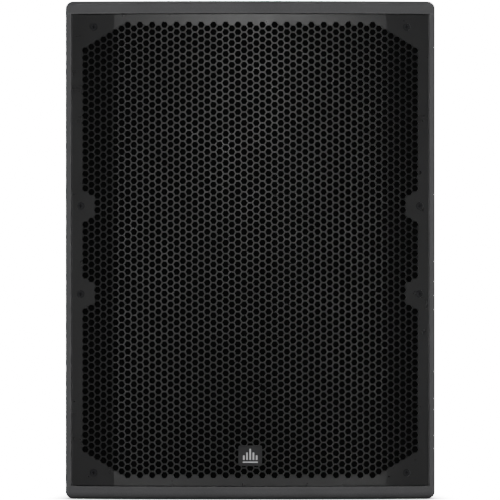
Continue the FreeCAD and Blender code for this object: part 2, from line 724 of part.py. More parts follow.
def flare_section(part, grow):
    """Closed outline of the flare: nearly round at the throat, a soft oblong at the mouth."""
    spread = part ** 1.8
    half_x = THROAT_R + (HORN_MOUTH[0] - THROAT_R) * spread + grow
    half_z = THROAT_R + (HORN_MOUTH[1] - THROAT_R) * spread + grow
    bend = min(THROAT_R + 14.0 * part + grow, half_x, half_z) - 0.3
    y = THROAT_Y + (HORN_FACE - THROAT_Y) * part
    edges = []
    last = None
    for turn in range(4):
        middle = math.pi / 2 * turn + math.pi / 4
        sign_x = math.copysign(1, math.cos(middle))
        sign_z = math.copysign(1, math.sin(middle))
        centre = V(sign_x * (half_x - bend), y, HORN_Z + sign_z * (half_z - bend))
        stops = [centre + V(bend * math.cos(a), 0, bend * math.sin(a))
                 for a in (middle - math.pi / 4, middle, middle + math.pi / 4)]
        if last is not None:
            edges.append(Part.LineSegment(last, stops[0]).toShape())
        else:
            first = stops[0]
        edges.append(Part.Arc(*stops).toShape())
        last = stops[2]
    edges.append(Part.LineSegment(last, first).toShape())
    return Part.Wire(edges)


def flare(grow, extra):
    """The flare as a solid, carried on past the throat as a round plug."""
    body = Part.makeLoft([flare_section(i / 6, grow) for i in range(7)], True, True)
    plug = cyl_y(THROAT_R + grow, THROAT_Y - 1, THROAT_Y + extra, 0, HORN_Z)
    return body.fuse(plug)


DRIVER_R = 45.0
DRIVER_BOLT_R = 38.0
MOUNT_T = 8.0
DRIVER_BOLTS = around(4, DRIVER_BOLT_R, math.pi / 4)


def horn_flare():
    flange = soft_box(-HORN_FLANGE[0], HORN_FLANGE[0], HORN_FACE, BAFFLE_F,
                      HORN_Z - HORN_FLANGE[1], HORN_Z + HORN_FLANGE[1], V(0, 1, 0), 12.0)
    mount = cyl_y(DRIVER_R, THROAT_Y, THROAT_Y + MOUNT_T, 0, HORN_Z)
    outer = flare(HORN_WALL, 1.0)
    body = joined([flange, outer, mount])
    holes = [cyl_y(2.2, HORN_FACE - 1, BAFFLE_F + 1, x, HORN_Z + z) for x, z in HORN_SCREWS]
    holes += [cyl_y(3.3, THROAT_Y - 1, THROAT_Y + MOUNT_T + 1, x, HORN_Z + z)
              for x, z in DRIVER_BOLTS]
    return less(body, [flare(0.0, MOUNT_T + 2)] + holes)


DRIVER_Y = THROAT_Y + MOUNT_T
YOKE_FACE = DRIVER_Y + 8.0
HF_PLATE_Y = YOKE_FACE + 18.0
HF_SEAT_Y = HF_PLATE_Y + 6.0
HF_POLE_R = 21.0
HF_COIL = (21.7, 22.3)
HF_GAP_R = 23.0
HF_BORE_R = 16.0


def driver_yoke():
    """Front plate and hollow pole of the compression driver."""
    profile = [(THROAT_R, DRIVER_Y), (DRIVER_R, DRIVER_Y), (DRIVER_R, YOKE_FACE),
               (HF_POLE_R, YOKE_FACE), (HF_POLE_R, HF_SEAT_Y), (HF_BORE_R, HF_SEAT_Y)]
    body = turned_y(profile, HORN_Z)
    return less(body, [cyl_y(3.0, DRIVER_Y - 1, YOKE_FACE + 1, x, HORN_Z + z)
                       for x, z in DRIVER_BOLTS])


def driver_bolt(x, z):
    head = [(0, -5), (5, -5), (5, 0), (2.95, 0), (2.95, MOUNT_T + 7.5), (0, MOUNT_T + 7.5)]
    bolt = turned_about(head, V(x, THROAT_Y, z), V(0, 1, 0))
    socket = turned_about([(0, -6), (2.4, -6), (2.4, -2), (0, -2)], V(x, THROAT_Y, z),
                          V(0, 1, 0))
    return bolt.cut(socket)


def driver_phase_plug():
    """Bullet in the pole bore, held by three fins."""
    profile = [(0, DRIVER_Y + 4), (5, DRIVER_Y + 11), (9, DRIVER_Y + 20),
               (13, HF_SEAT_Y - 1), (13, HF_SEAT_Y + 1.5), (10, HF_SEAT_Y + 4),
               (0, HF_SEAT_Y + 5.5)]
    bullet = turned_y(profile, HORN_Z)
    fins = []
    for i in range(3):
        fin = box(-0.8, 0.8, YOKE_FACE + 6, HF_SEAT_Y - 2, HORN_Z + 3, HORN_Z + 30)
        fin.rotate(V(0, 0, HORN_Z), V(0, 1, 0), 120 * i)
        fins.append(fin)
    bore = turned_y([(0, DRIVER_Y), (THROAT_R, DRIVER_Y), (HF_BORE_R, HF_SEAT_Y),
                     (0, HF_SEAT_Y)], HORN_Z)
    return joined([bullet] + [fin.common(bore) for fin in fins])


def driver_diaphragm():
    """Dome with its coil on a short skirt."""
    skirt = ring_y(HF_COIL[0], HF_COIL[1], HF_PLATE_Y - 1, HF_SEAT_Y + 1.5, 0, HORN_Z)
    cap = dome(HF_COIL[1], 7.5, 0.5, 0.0, HORN_Z)
    cap = cap.mirror(V(0, 0, 0), V(0, 1, 0))
    cap.translate(V(0, HF_SEAT_Y + 1.4, 0))
    return joined([skirt, cap])


def driver_suspension():
    """Thin half roll and clamping ring around the dome."""
    inner = HF_COIL[1]
    outer = 29.0
    mid = (inner + outer) / 2
    half = (outer - inner) / 2
    base = HF_SEAT_Y + 0.6
    steps = 8
    top = [(mid - half * math.cos(math.pi * i / steps),
            base + 0.4 + half * 0.7 * math.sin(math.pi * i / steps)) for i in range(steps + 1)]
    low = [(r, y - 0.4) for r, y in top]
    roll = turned_y(top + list(reversed(low)), HORN_Z)
    clamp = ring_y(outer - 0.5, 37, HF_SEAT_Y, HF_SEAT_Y + 1.5, 0, HORN_Z)
    return joined([roll, clamp])


def driver_cover():
    back = HF_SEAT_Y + 26
    profile = [(42, HF_SEAT_Y), (DRIVER_R, HF_SEAT_Y), (DRIVER_R, back - 6), (40, back),
               (0, back), (0, back - 3), (38, back - 3), (42, back - 8)]
    return turned_y(profile, HORN_Z)


COVER_BACK = HF_SEAT_Y + 26


# ---- crossover network --------------------------------------------------------------------
BOARD = (-85.0, 85.0, 65.0, 165.0)
BOARD_Z = 30.0
BOARD_T = 2.0
STANDOFFS = [(x, y) for x in (-77.0, 77.0) for y in (73.0, 157.0)]
BOARD_TOP = BOARD_Z + BOARD_T


def crossover_board():
    x0, x1, y0, y1 = BOARD
    board = box(x0, x1, y0, y1, BOARD_Z, BOARD_TOP)
    return less(board, [cyl_z(1.7, BOARD_Z - 1, BOARD_TOP + 1, x, y) for x, y in STANDOFFS])


def standoff(x, y):
    """Pillar with the screw that holds the board down."""
    profile = [(0, 0), (4, 0), (4, BOARD_Z - PLY), (1.65, BOARD_Z - PLY),
               (1.65, BOARD_TOP - PLY), (3.2, BOARD_TOP - PLY), (3.2, BOARD_TOP - PLY + 1.6),
               (0, BOARD_TOP - PLY + 2.2)]
    return turned_about(profile, V(x, y, PLY), V(0, 0, 1))


def inductor(x, y, radius, height):
    """Air-core coil on a flanged bobbin."""
    profile = [(7, 0), (radius, 0), (radius, 1.5), (radius - 2, 1.5), (radius - 2, height - 1.5),
               (radius, height - 1.5), (radius, height), (7, height)]
    return turned_about(profile, V(x, y, BOARD_TOP), V(0, 0, 1))


def capacitor(x, y, radius, length):
    profile = [(0, 0), (radius - 1.2, 0), (radius, 1.2), (radius, length - 1.2),
               (radius - 1.2, length), (0, length)]
    return turned_about(profile, V(x, y, BOARD_TOP + radius), V(0, 1, 0))


# ---- input dish ---------------------------------------------------------------------------
DISH_FLOOR = REAR_OUT - DISH_DEPTH
SOCKETS = (-42.0, 42.0)
SOCKET_R = 12.0
SHAFT_R = 3.0


def input_dish():
    flange = soft_box(-DISH_FLANGE[0], DISH_FLANGE[0], REAR_OUT, REAR_OUT + 3.0,
                      DISH_Z - DISH_FLANGE[1], DISH_Z + DISH_FLANGE[1], V(0, 1, 0), 8.0)
    wide = DISH_POCKET[0] + DISH_WALL
    tall = DISH_POCKET[1] + DISH_WALL
    outer = soft_box(-wide, wide, DISH_FLOOR - DISH_WALL, REAR_OUT + 1, DISH_Z - tall,
                     DISH_Z + tall, V(0, 1, 0), 11.0)
    hollow = soft_box(-DISH_POCKET[0], DISH_POCKET[0], DISH_FLOOR, REAR_OUT + 5,
                      DISH_Z - DISH_POCKET[1], DISH_Z + DISH_POCKET[1], V(0, 1, 0), 8.0)
    foot = [e for e in hollow.Edges
            if all(abs(v.Y - DISH_FLOOR) < 1e-6 for v in e.Vertexes)]
    hollow = hollow.makeFillet(4.0, foot)
    holes = [cyl_y(2.0, REAR_OUT - 1, REAR_OUT + 5, x, DISH_Z + z) for x, z in DISH_SCREWS]
    holes += [cyl_y(SOCKET_R + 0.1, DISH_FLOOR - 5, DISH_FLOOR + 1, x, DISH_Z) for x in SOCKETS]
    holes.append(cyl_y(SHAFT_R + 0.3, DISH_FLOOR - 5, DISH_FLOOR + 1, 0, DISH_Z))
    return less(joined([flange, outer]), [hollow] + holes)


def speaker_socket(x):
    """Round locking socket with a keyed centre post."""
    plate = soft_box(x - 15, x + 15, DISH_FLOOR, DISH_FLOOR + 2.5, DISH_Z - 17, DISH_Z + 17,
                     V(0, 1, 0), 3.0)
    collar = cyl_y(13.5, DISH_FLOOR, DISH_FLOOR + 5, x, DISH_Z)
    barrel = cyl_y(SOCKET_R, DISH_FLOOR - 22, DISH_FLOOR + 1, x, DISH_Z)
    well = ring_y(5.5, 10.5, DISH_FLOOR - 12, DISH_FLOOR + 6, x, DISH_Z)
    keys = [box(x - 1.6, x + 1.6, DISH_FLOOR - 12, DISH_FLOOR + 6, DISH_Z + 9, DISH_Z + 12),
            box(x - 2.4, x + 2.4, DISH_FLOOR - 12, DISH_FLOOR + 6, DISH_Z - 12, DISH_Z - 9)]
    ears = [cyl_y(1.7, DISH_FLOOR - 1, DISH_FLOOR + 3, x + dx, DISH_Z + dz)
            for dx, dz in ((11.5, -13.5), (-11.5, 13.5))]
    post_slots = [box(x - 6, x + 6, DISH_FLOOR - 8, DISH_FLOOR + 6, DISH_Z - 0.9, DISH_Z + 0.9),
                  box(x - 0.9, x + 0.9, DISH_FLOOR - 8, DISH_FLOOR + 6, DISH_Z - 6, DISH_Z + 6)]
    tabs = [box(x + dx - 2.4, x + dx + 2.4, DISH_FLOOR - 30, DISH_FLOOR - 21,
                DISH_Z + dz - 0.4, DISH_Z + dz + 0.4) for dx in (-6, 6) for dz in (-5, 5)]
    body = joined([plate, collar, barrel] + tabs)
    return less(body, [well] + keys + ears + post_slots)


def mode_switch():
    body = soft_box(-10, 10, DISH_FLOOR - DISH_WALL - 16, DISH_FLOOR - DISH_WALL,
                    DISH_Z - 10, DISH_Z + 10, V(0, 1, 0), 1.5)
    return body.cut(cyl_y(SHAFT_R + 0.05, DISH_FLOOR - DISH_WALL - 12, DISH_FLOOR, 0, DISH_Z))


def mode_knob():
    """Pointer knob on its shaft."""
    shaft = cyl_y(SHAFT_R, DISH_FLOOR - DISH_WALL - 10, DISH_FLOOR + 8, 0, DISH_Z)
    skirt = turned_y([(0, DISH_FLOOR + 1.5), (9.5, DISH_FLOOR + 1.5), (9.5, DISH_FLOOR + 3.5),
                      (7.5, DISH_FLOOR + 5), (7, DISH_FLOOR + 12), (0, DISH_FLOOR + 12)], DISH_Z)
    pointer = soft_box(-2.2, 2.2, DISH_FLOOR + 3, DISH_FLOOR + 14, DISH_Z - 8, DISH_Z + 9,
                       V(0, 1, 0), 1.2)
    return joined([shaft, skirt, pointer])


# ---- pole socket --------------------------------------------------------------------------
def pole_socket():
    """Closed tube under a round flange let into the bottom board."""
    profile = [(POLE_R, 0), (POLE_FLANGE_R, 0), (POLE_FLANGE_R, 3), (POLE_TUBE_R, 3),
               (POLE_TUBE_R, POLE_DEPTH + 3), (0, POLE_DEPTH + 3), (0, POLE_DEPTH),
               (POLE_R, POLE_DEPTH)]
    body = turned_about(profile, V(0, POLE_Y, 0), V(0, 0, 1))
    sinks = [turned_about([(0, -1), (4.2, -1), (4.2, 0), (2.1, 2.1), (2.1, 4), (0, 4)],
                          V(x, POLE_Y + y, 0), V(0, 0, 1)) for x, y in POLE_SCREWS]
    return less(body, sinks)


def pole_screw(x, y):
    profile = [(0, 0.1), (4.1, 0.1), (2.0, 2.2), (2.0, 12), (0.3, 15.5), (0, 15.5)]
    screw = turned_about(profile, V(x, y, 0), V(0, 0, 1))
    cross = box(x - 0.4, x + 0.4, y - 2.2, y + 2.2, -1, 1.3)
    cross = cross.fuse(box(x - 2.2, x + 2.2, y - 0.4, y + 0.4, -1, 1.3))
    return screw.cut(cross)


# ---- ports, wadding and cables ------------------------------------------------------------
def port_tube(x):
    """Tube with a rounded lip on the baffle."""
    outer = PORT_R + PORT_WALL
    profile = [(PORT_R, BAFFLE_F), (PORT_R + 2.5, BAFFLE_F - 3), (PORT_LIP_R - 1, BAFFLE_F - 3),
               (PORT_LIP_R, BAFFLE_F - 2), (PORT_LIP_R, BAFFLE_F), (outer, BAFFLE_F),
               (outer, BAFFLE_F + PORT_LENGTH), (PORT_R, BAFFLE_F + PORT_LENGTH)]
    tube = turned_y(profile, HORN_Z)
    tube.translate(V(x, 0, 0))
    return tube


PAD_T = 30.0
PAD_HALF = 152.0


def wadding():
    """Two pads on the rear board, above and below the brace."""
    back = REAR_IN - SOFT_GAP
    upper = soft_box(-PAD_HALF, PAD_HALF, back - PAD_T, back, BRACE_Z + PLY / 2 + 4, 655,
                     V(0, 1, 0), 8.0)
    upper = upper.cut(cyl_y(INSERT_FLANGE_R + 3, back - PAD_T - 1, back + 1, 0, REAR_INSERT_Z))
    lower = soft_box(-PAD_HALF, PAD_HALF, back - PAD_T, back,
                     DISH_Z + DISH_FLANGE[1] + 8, BRACE_Z - PLY / 2 - 4, V(0, 1, 0), 8.0)
    return Part.makeCompound([upper, lower])


CABLE_R = 3.0
LAID = BOARD_TOP + CABLE_R


def woofer_cable():
    return routed_tube([(-78, 110, LAID), (-120, 110, LAID), (-135, 20, 60), (-135, -60, 180),
                        (-118, -95, 290), (-16, -95, 334)], CABLE_R)


def driver_cable():
    return routed_tube([(78, 110, LAID), (110, 110, LAID), (110, 110, HORN_Z),
                        (22, 110, HORN_Z), (22, COVER_BACK, HORN_Z)], CABLE_R)


def input_cable():
    start = DISH_FLOOR - 24
    return routed_tube([(42, start, DISH_Z - 5), (42, 125, DISH_Z - 5), (42, 125, 80),
                        (66, 125, 60), (66, 110, LAID)], CABLE_R)


# ---- write every piece --------------------------------------------------------------------
def save(name, shape):
    shape.exportStep("parts/" + name + ".step")


os.makedirs("parts", exist_ok=True)

save("top_panel", top_panel())
save("bottom_panel", bottom_panel())
right_board = side_board().cut(on_right_side(handle_opening()))
right_board = less(right_board, [grille_screw_hole(x, z, 0.0) for x, z in GRILLE_SCREWS if x > 0])
save("side_panel_right", right_board)
save("side_panel_left", flip(right_board))
save("rear_panel", rear_panel())
save("baffle", baffle())
save("brace", brace())
save("grille_batten_right", batten())
save("grille_batten_left", flip(batten()))
save("port_tube_left", port_tube(-PORT_X))
save("port_tube_right", port_tube(PORT_X))

save("grille", grille())
save("grille_foam", grille_foam())
save("grille_screws", Part.makeCompound([grille_screw(x, z) for x, z in GRILLE_SCREWS]))
save("badge_plate", badge_plate())
save("badge_emblem", badge_emblem())

save("woofer_basket", woofer_basket())
save("woofer_gasket", woofer_gasket())
save("woofer_surround", woofer_surround())
save("woofer_cone", woofer_cone())
save("woofer_dust_cap", woofer_dust_cap())
save("woofer_coil", woofer_coil())
save("woofer_spider", woofer_spider())
save("woofer_top_plate", ring_y(GAP_R, 85.0, PLATE_Y, PLATE_Y + PLATE_T, 0, WOOFER_Z))
save("woofer_magnet", ring_y(50.0, 95.0, PLATE_Y + PLATE_T, PLATE_Y + PLATE_T + MAGNET_T,
                             0, WOOFER_Z))
save("woofer_yoke", woofer_yoke())
save("woofer_terminals", woofer_terminals())
save("woofer_bolts", Part.makeCompound([woofer_bolt(x, WOOFER_Z + z)
                                        for x, z in WOOFER_BOLT_AT]))
save("woofer_tee_nuts", Part.makeCompound([tee_nut(x, WOOFER_Z + z)
                                           for x, z in WOOFER_BOLT_AT]))

save("horn_flare", horn_flare())
save("horn_screws", Part.makeCompound([
    pan_screw(V(x, HORN_FACE, HORN_Z + z), V(0, -1, 0), 2.0, 18.0, 4.0, 2.4)
    for x, z in HORN_SCREWS]))
save("driver_yoke", driver_yoke())
save("driver_magnet", ring_y(27.0, 60.0, YOKE_FACE, HF_PLATE_Y, 0, HORN_Z))
save("driver_top_plate", ring_y(HF_GAP_R, DRIVER_R, HF_PLATE_Y, HF_SEAT_Y, 0, HORN_Z))
save("driver_phase_plug", driver_phase_plug())
save("driver_diaphragm", driver_diaphragm())
save("driver_suspension", driver_suspension())
save("driver_cover", driver_cover())
save("driver_bolts", Part.makeCompound([driver_bolt(x, HORN_Z + z) for x, z in DRIVER_BOLTS]))

save("crossover_board", crossover_board())
save("crossover_standoffs", Part.makeCompound([standoff(x, y) for x, y in STANDOFFS]))
save("crossover_inductors", Part.makeCompound([inductor(-45, 95, 24, 22),
                                               inductor(20, 92, 18, 16)]))
save("crossover_capacitors", Part.makeCompound([capacitor(x, 126, 8.0, 34)
                                                for x in (-62, -40, -18)]))

save("input_dish", input_dish())
save("speaker_sockets", Part.makeCompound([speaker_socket(x) for x in SOCKETS]))
save("mode_switch", mode_switch())
save("mode_knob", mode_knob())
save("input_screws", Part.makeCompound([
    pan_screw(V(x, REAR_OUT + 3.0, DISH_Z + z), V(0, 1, 0), 1.8, 16.0, 3.5, 2.2)
    for x, z in DISH_SCREWS]))

right_cup = on_right_side(handle_cup())
right_grip = on_right_side(handle_grip())
right_screws = [on_right_side(pan_screw(V(HANDLE_FLANGE_T, y, z), V(1, 0, 0), 2.0, 14.0, 4.2, 2.4))
                for y, z in HANDLE_SCREWS]
save("handle_cup_right", right_cup)
save("handle_cup_left", flip(right_cup))
save("handle_grip_right", right_grip)
save("handle_grip_left", flip(right_grip))
save("handle_screws", Part.makeCompound(right_screws + [flip(s) for s in right_screws]))

save("pole_socket", pole_socket())
save("pole_screws", Part.makeCompound([pole_screw(x, POLE_Y + y) for x, y in POLE_SCREWS]))
save("rigging_inserts", Part.makeCompound(inserts()))
save("wadding", wadding())
save("woofer_cable", woofer_cable())
save("driver_cable", driver_cable())
save("input_cable", input_cable())
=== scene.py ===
import math

import bmesh
import bpy
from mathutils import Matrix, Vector, noise
from mathutils.geometry import delaunay_2d_cdt


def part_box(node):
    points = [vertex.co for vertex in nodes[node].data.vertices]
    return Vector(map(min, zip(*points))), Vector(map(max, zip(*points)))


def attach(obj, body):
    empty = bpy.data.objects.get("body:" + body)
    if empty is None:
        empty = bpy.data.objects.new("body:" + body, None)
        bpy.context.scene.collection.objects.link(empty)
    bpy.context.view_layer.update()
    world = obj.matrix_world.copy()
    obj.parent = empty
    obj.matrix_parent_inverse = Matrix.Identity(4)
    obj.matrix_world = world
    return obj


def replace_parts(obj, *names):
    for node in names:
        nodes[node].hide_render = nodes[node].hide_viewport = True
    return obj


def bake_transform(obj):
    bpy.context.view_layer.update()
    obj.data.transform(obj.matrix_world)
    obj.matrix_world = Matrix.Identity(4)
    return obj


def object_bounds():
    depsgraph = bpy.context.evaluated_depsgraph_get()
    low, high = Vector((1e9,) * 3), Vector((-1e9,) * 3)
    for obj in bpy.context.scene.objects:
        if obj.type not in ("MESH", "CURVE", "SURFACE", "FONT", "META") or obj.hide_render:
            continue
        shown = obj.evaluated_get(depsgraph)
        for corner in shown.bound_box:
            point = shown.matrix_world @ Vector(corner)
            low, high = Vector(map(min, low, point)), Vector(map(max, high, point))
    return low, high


# The looks of a loudspeaker cabinet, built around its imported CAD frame. Lengths are in metres.
# The front looks towards -Y, +X is on the right as seen from the front, and +Z is up.

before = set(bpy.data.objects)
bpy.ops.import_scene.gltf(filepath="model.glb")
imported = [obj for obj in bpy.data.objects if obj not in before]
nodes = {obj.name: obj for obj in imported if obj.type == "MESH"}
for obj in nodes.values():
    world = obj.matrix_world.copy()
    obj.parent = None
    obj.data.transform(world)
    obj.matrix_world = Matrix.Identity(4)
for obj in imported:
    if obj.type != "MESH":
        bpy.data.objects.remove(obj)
cad_low, cad_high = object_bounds()

CABINET = "cabinet"

# ---- the bowed front, the same as the CAD sheet --------------------------------------------
HEIGHT = cad_high.z - cad_low.z
CREASE_X = 0.1865                  # where the bow turns into a flat facet
FACET = math.radians(8.5)          # slope of the facets
BOW = math.radians(4.8)            # slope of the bow at the crease
BOW_R = CREASE_X / math.sin(BOW)
BOW_ARC = BOW_R * BOW              # length of the bow from the middle to the crease

# ---- perforation of the grille -------------------------------------------------------------
COLUMNS = 55
COLUMN_PITCH = 0.00842
ROW_PITCH = 0.009966
HOLE_SHARE = 0.82                  # hole size over cell size
HOLE_CHAMFER = 0.00025
CORNER_COLUMNS = 7                 # columns cut short at each corner
ROWS_REACH = 31 * ROW_PITCH        # furthest hole centre above or below the middle
SCREW_CLEARING = 0.019             # no hole centre this close to a side screw
SHEET_T = 0.0015
SCREW_RING_POINTS = 20
BOW_STEPS = 60                     # points along the sheet's edge from the middle to the crease
FACET_STEPS = 20                   # and from the crease to the side
SIDE_STEPS = 60                    # points up the sheet's side, from the middle to a corner
MARGIN_LINES = (0.002, 0.004)      # extra lines of points, this far in from the long edges
SAME_PLACE = 6                     # decimals that two points share when they are one
SIDE_SCREWS_X = 0.233
SIDE_SCREWS_Z = (0.403, 0.282)
CORNER_SCREWS_X = 0.215
CORNER_SCREWS_Z = (0.649, 0.0364)
SCREW_HOLE_R = 0.0050


# ---- mesh helpers --------------------------------------------------------------------------
def new_object(name, vertices, faces, material):
    """A mesh object in the scene, with its material."""
    mesh = bpy.data.meshes.new(name)
    mesh.from_pydata([tuple(v) for v in vertices], [], faces)
    mesh.validate()
    mesh.update()
    made = bpy.data.objects.new(name, mesh)
    bpy.context.scene.collection.objects.link(made)
    mesh.materials.append(material)
    return made


def smooth(made, angle=30.0):
    """Smooth shading, with edges sharper than the angle kept crisp."""
    made.data.polygons.foreach_set("use_smooth", [True] * len(made.data.polygons))
    made.data.set_sharp_from_angle(angle=math.radians(angle))


def bent(along, z, face_y, depth=0.0):
    """A point of the bowed sheet: along it from the middle, and depth behind its face."""
    side = math.copysign(1.0, along)
    run = abs(along)
    if run <= BOW_ARC:
        angle = run / BOW_R
        x = BOW_R * math.sin(angle)
        y = BOW_R * (1 - math.cos(angle))
    else:
        angle = FACET
        x = CREASE_X + (run - BOW_ARC) * math.cos(FACET)
        y = BOW_R * (1 - math.cos(BOW)) + (run - BOW_ARC) * math.sin(FACET)
    return Vector((side * (x - depth * math.sin(angle)), face_y + y + depth * math.cos(angle), z))


def along_at(x):
    """How far along the sheet from its middle the point at x lies."""
    if abs(x) <= CREASE_X:
        return math.copysign(BOW_R * math.asin(abs(x) / BOW_R), x)
    return math.copysign(BOW_ARC + (abs(x) - CREASE_X) / math.cos(FACET), x)


# ---- materials -----------------------------------------------------------------------------
class Graph:
    """A material's node tree, with short calls for the nodes used here."""

    def __init__(self, name):
        self.material = bpy.data.materials.new(name)
        self.material.use_nodes = True
        self.tree = self.material.node_tree
        self.shader = self.tree.nodes["Principled BSDF"]
        self.where = self.add("ShaderNodeTexCoord").outputs["Object"]

    def add(self, kind, **settings):
        node = self.tree.nodes.new(kind)
        for key, value in settings.items():
            setattr(node, key, value)
        return node

    def link(self, source, target):
        self.tree.links.new(source, target)

    def stretched(self, scale):
        """The object coordinates, scaled differently along each axis."""
        node = self.add("ShaderNodeMapping")
        node.inputs["Scale"].default_value = scale
        self.link(self.where, node.inputs["Vector"])
        return node.outputs["Vector"]

    def noise(self, scale, detail=3.0, roughness=0.6, where=None):
        """Cloudy noise, 0 to 1, with scale patches a metre."""
        node = self.add("ShaderNodeTexNoise")
        node.inputs["Scale"].default_value = scale
        node.inputs["Detail"].default_value = detail
        node.inputs["Roughness"].default_value = roughness
        self.link(where or self.where, node.inputs["Vector"])
        return node.outputs["Fac"]

    def cells(self, scale, feature="F1"):
        """Distance inside random cells, with scale cells a metre."""
        node = self.add("ShaderNodeTexVoronoi", feature=feature)
        node.inputs["Scale"].default_value = scale
        self.link(self.where, node.inputs["Vector"])
        return node.outputs["Distance"]

    def bands(self, scale, direction, distortion=0.0):
        """Even stripes across the given axis."""
        node = self.add("ShaderNodeTexWave", wave_type="BANDS", bands_direction=direction)
        node.inputs["Scale"].default_value = scale
        node.inputs["Distortion"].default_value = distortion
        self.link(self.where, node.inputs["Vector"])
        return node.outputs["Fac"]

    def axes(self):
        """The X, Y and Z object coordinates as separate values."""
        apart = self.add("ShaderNodeSeparateXYZ")
        self.link(self.where, apart.inputs["Vector"])
        return apart.outputs["X"], apart.outputs["Y"], apart.outputs["Z"]

    def ramp(self, value, stops):
        """A colour ramp from (position, colour) stops."""
        node = self.add("ShaderNodeValToRGB")
        elements = node.color_ramp.elements
        while len(elements) < len(stops):
            elements.new(0.5)
        for element, (position, colour) in zip(elements, stops):
            element.position = position
            element.color = (*colour, 1.0)
        self.link(value, node.inputs["Fac"])
        return node.outputs["Color"]

    def remap(self, value, low, high, from_low=0.3, from_high=0.7):
        """Stretches a value's range from_low to from_high over low to high."""
        node = self.add("ShaderNodeMapRange")
        for key, number in (("From Min", from_low), ("From Max", from_high),
                            ("To Min", low), ("To Max", high)):
            node.inputs[key].default_value = number
        self.link(value, node.inputs["Value"])
        return node.outputs["Result"]

    def maths(self, operation, a, b=0.0):
        """One sum on two values, each a number or a socket."""
        node = self.add("ShaderNodeMath", operation=operation)
        for socket, value in zip(node.inputs, (a, b)):
            if isinstance(value, (int, float)):
                socket.default_value = value
            else:
                self.link(value, socket)
        return node.outputs["Value"]

    def mix(self, factor, a, b, blend_type="MIX"):
        """Colour a towards colour b by the factor."""
        node = self.add("ShaderNodeMix", data_type="RGBA", blend_type=blend_type)
        for socket, value in ((node.inputs["Factor"], factor), (node.inputs["A"], a),
                              (node.inputs["B"], b)):
            if isinstance(value, (int, float)):
                socket.default_value = value
            elif isinstance(value, tuple):
                socket.default_value = (*value, 1.0)
            else:
                self.link(value, socket)
        return node.outputs["Result"]

    def edges(self, radius, patches):
        """A mask of the edges, where a rounded normal leaves the true one, broken up by noise."""
        rounded = self.add("ShaderNodeBevel", samples=4)
        rounded.inputs["Radius"].default_value = radius
        true_normal = self.add("ShaderNodeNewGeometry").outputs["Normal"]
        agreement = self.add("ShaderNodeVectorMath", operation="DOT_PRODUCT")
        self.link(rounded.outputs["Normal"], agreement.inputs[0])
        self.link(true_normal, agreement.inputs[1])
        near = self.remap(agreement.outputs["Value"], 1.0, 0.0, from_low=0.80, from_high=0.995)
        worn = self.remap(patches, 0.0, 0.8, from_low=0.42, from_high=0.62)
        return self.maths("MULTIPLY", near, worn)

    def openness(self, reach):
        """How open the surface is: 1 in the clear, lower down in a recess."""
        node = self.add("ShaderNodeAmbientOcclusion", samples=8)
        node.inputs["Distance"].default_value = reach
        return node.outputs["AO"]

    def bump(self, height, distance, strength=1.0):
        """Relief of the shader's normal, distance deep."""
        node = self.add("ShaderNodeBump")
        node.inputs["Distance"].default_value = distance
        node.inputs["Strength"].default_value = strength
        self.link(height, node.inputs["Height"])
        self.link(node.outputs["Normal"], self.shader.inputs["Normal"])

    def set(self, **sockets):
        """Sets the shader's sockets, named with underscores, to numbers, colours or sockets."""
        for key, value in sockets.items():
            socket = self.shader.inputs[key.replace("_", " ")]
            if isinstance(value, (int, float)):
                socket.default_value = value
            elif isinstance(value, tuple):
                socket.default_value = (*value, 1.0)
            else:
                self.link(value, socket)


def shade(colour, factor):
    """The colour, darker or paler by the factor."""
    return tuple(min(1.0, c * factor) for c in colour)


COLOUR_DRIFT = 0.15                # how far a plain surface's colour drifts either way
GLOSS_DRIFT = 0.08                 # and its roughness


def plain(name, colour, roughness, metallic=0.0, grain=900.0, height=0.00005):
    """A surface with a fine grain, slow colour drift and uneven gloss."""
    g = Graph(name)
    drift = g.noise(14.0, 4.0)
    g.set(Base_Color=g.ramp(drift, [(0.3, shade(colour, 1 - COLOUR_DRIFT)),
                                    (0.7, shade(colour, 1 + COLOUR_DRIFT))]),
          Roughness=g.remap(g.noise(60.0, 3.0), roughness - GLOSS_DRIFT,
                            roughness + GLOSS_DRIFT),
          Metallic=metallic)
    g.bump(g.noise(grain, 2.0), height)
    return g.material


def cabinet_paint():
    """Black structured paint: small even droplets over plywood, rubbed paler at the edges."""
    g = Graph("cabinet_paint")
    droplets = g.cells(650.0)
    film = g.noise(190.0, 3.0)
    drift = g.noise(9.0, 4.0)
    base = g.ramp(drift, [(0.3, (0.056, 0.056, 0.058)), (0.7, (0.066, 0.066, 0.068))])
    speck = g.ramp(droplets, [(0.10, (1.10, 1.10, 1.10)), (0.50, (0.92, 0.92, 0.92))])
    paint = g.mix(1.0, base, speck, "MULTIPLY")
    rubbed = g.edges(0.0035, g.noise(120.0, 5.0, 0.7))
    g.set(Base_Color=g.mix(rubbed, paint, (0.10, 0.10, 0.10)),
          Roughness=g.remap(g.noise(35.0, 3.0), 0.68, 0.80), Metallic=0.0)
    g.bump(g.maths("ADD", g.maths("MULTIPLY", droplets, -0.8), film), 0.00030, 0.8)
    g.shader.inputs["Specular IOR Level"].default_value = 0.35
    return g.material


def grille_paint():
    """Semi-gloss black powder coat: slight orange peel."""
    g = Graph("grille_powder_coat")
    peel = g.noise(420.0, 2.0)
    drift = g.noise(7.0, 3.0)
    g.set(Base_Color=g.ramp(drift, [(0.3, (0.0065, 0.0065, 0.0067)),
                                    (0.7, (0.0085, 0.0085, 0.0087))]),
          Roughness=g.remap(g.noise(50.0, 3.0), 0.27, 0.33), Metallic=0.0)
    g.bump(peel, 0.00003, 0.5)
    return g.material


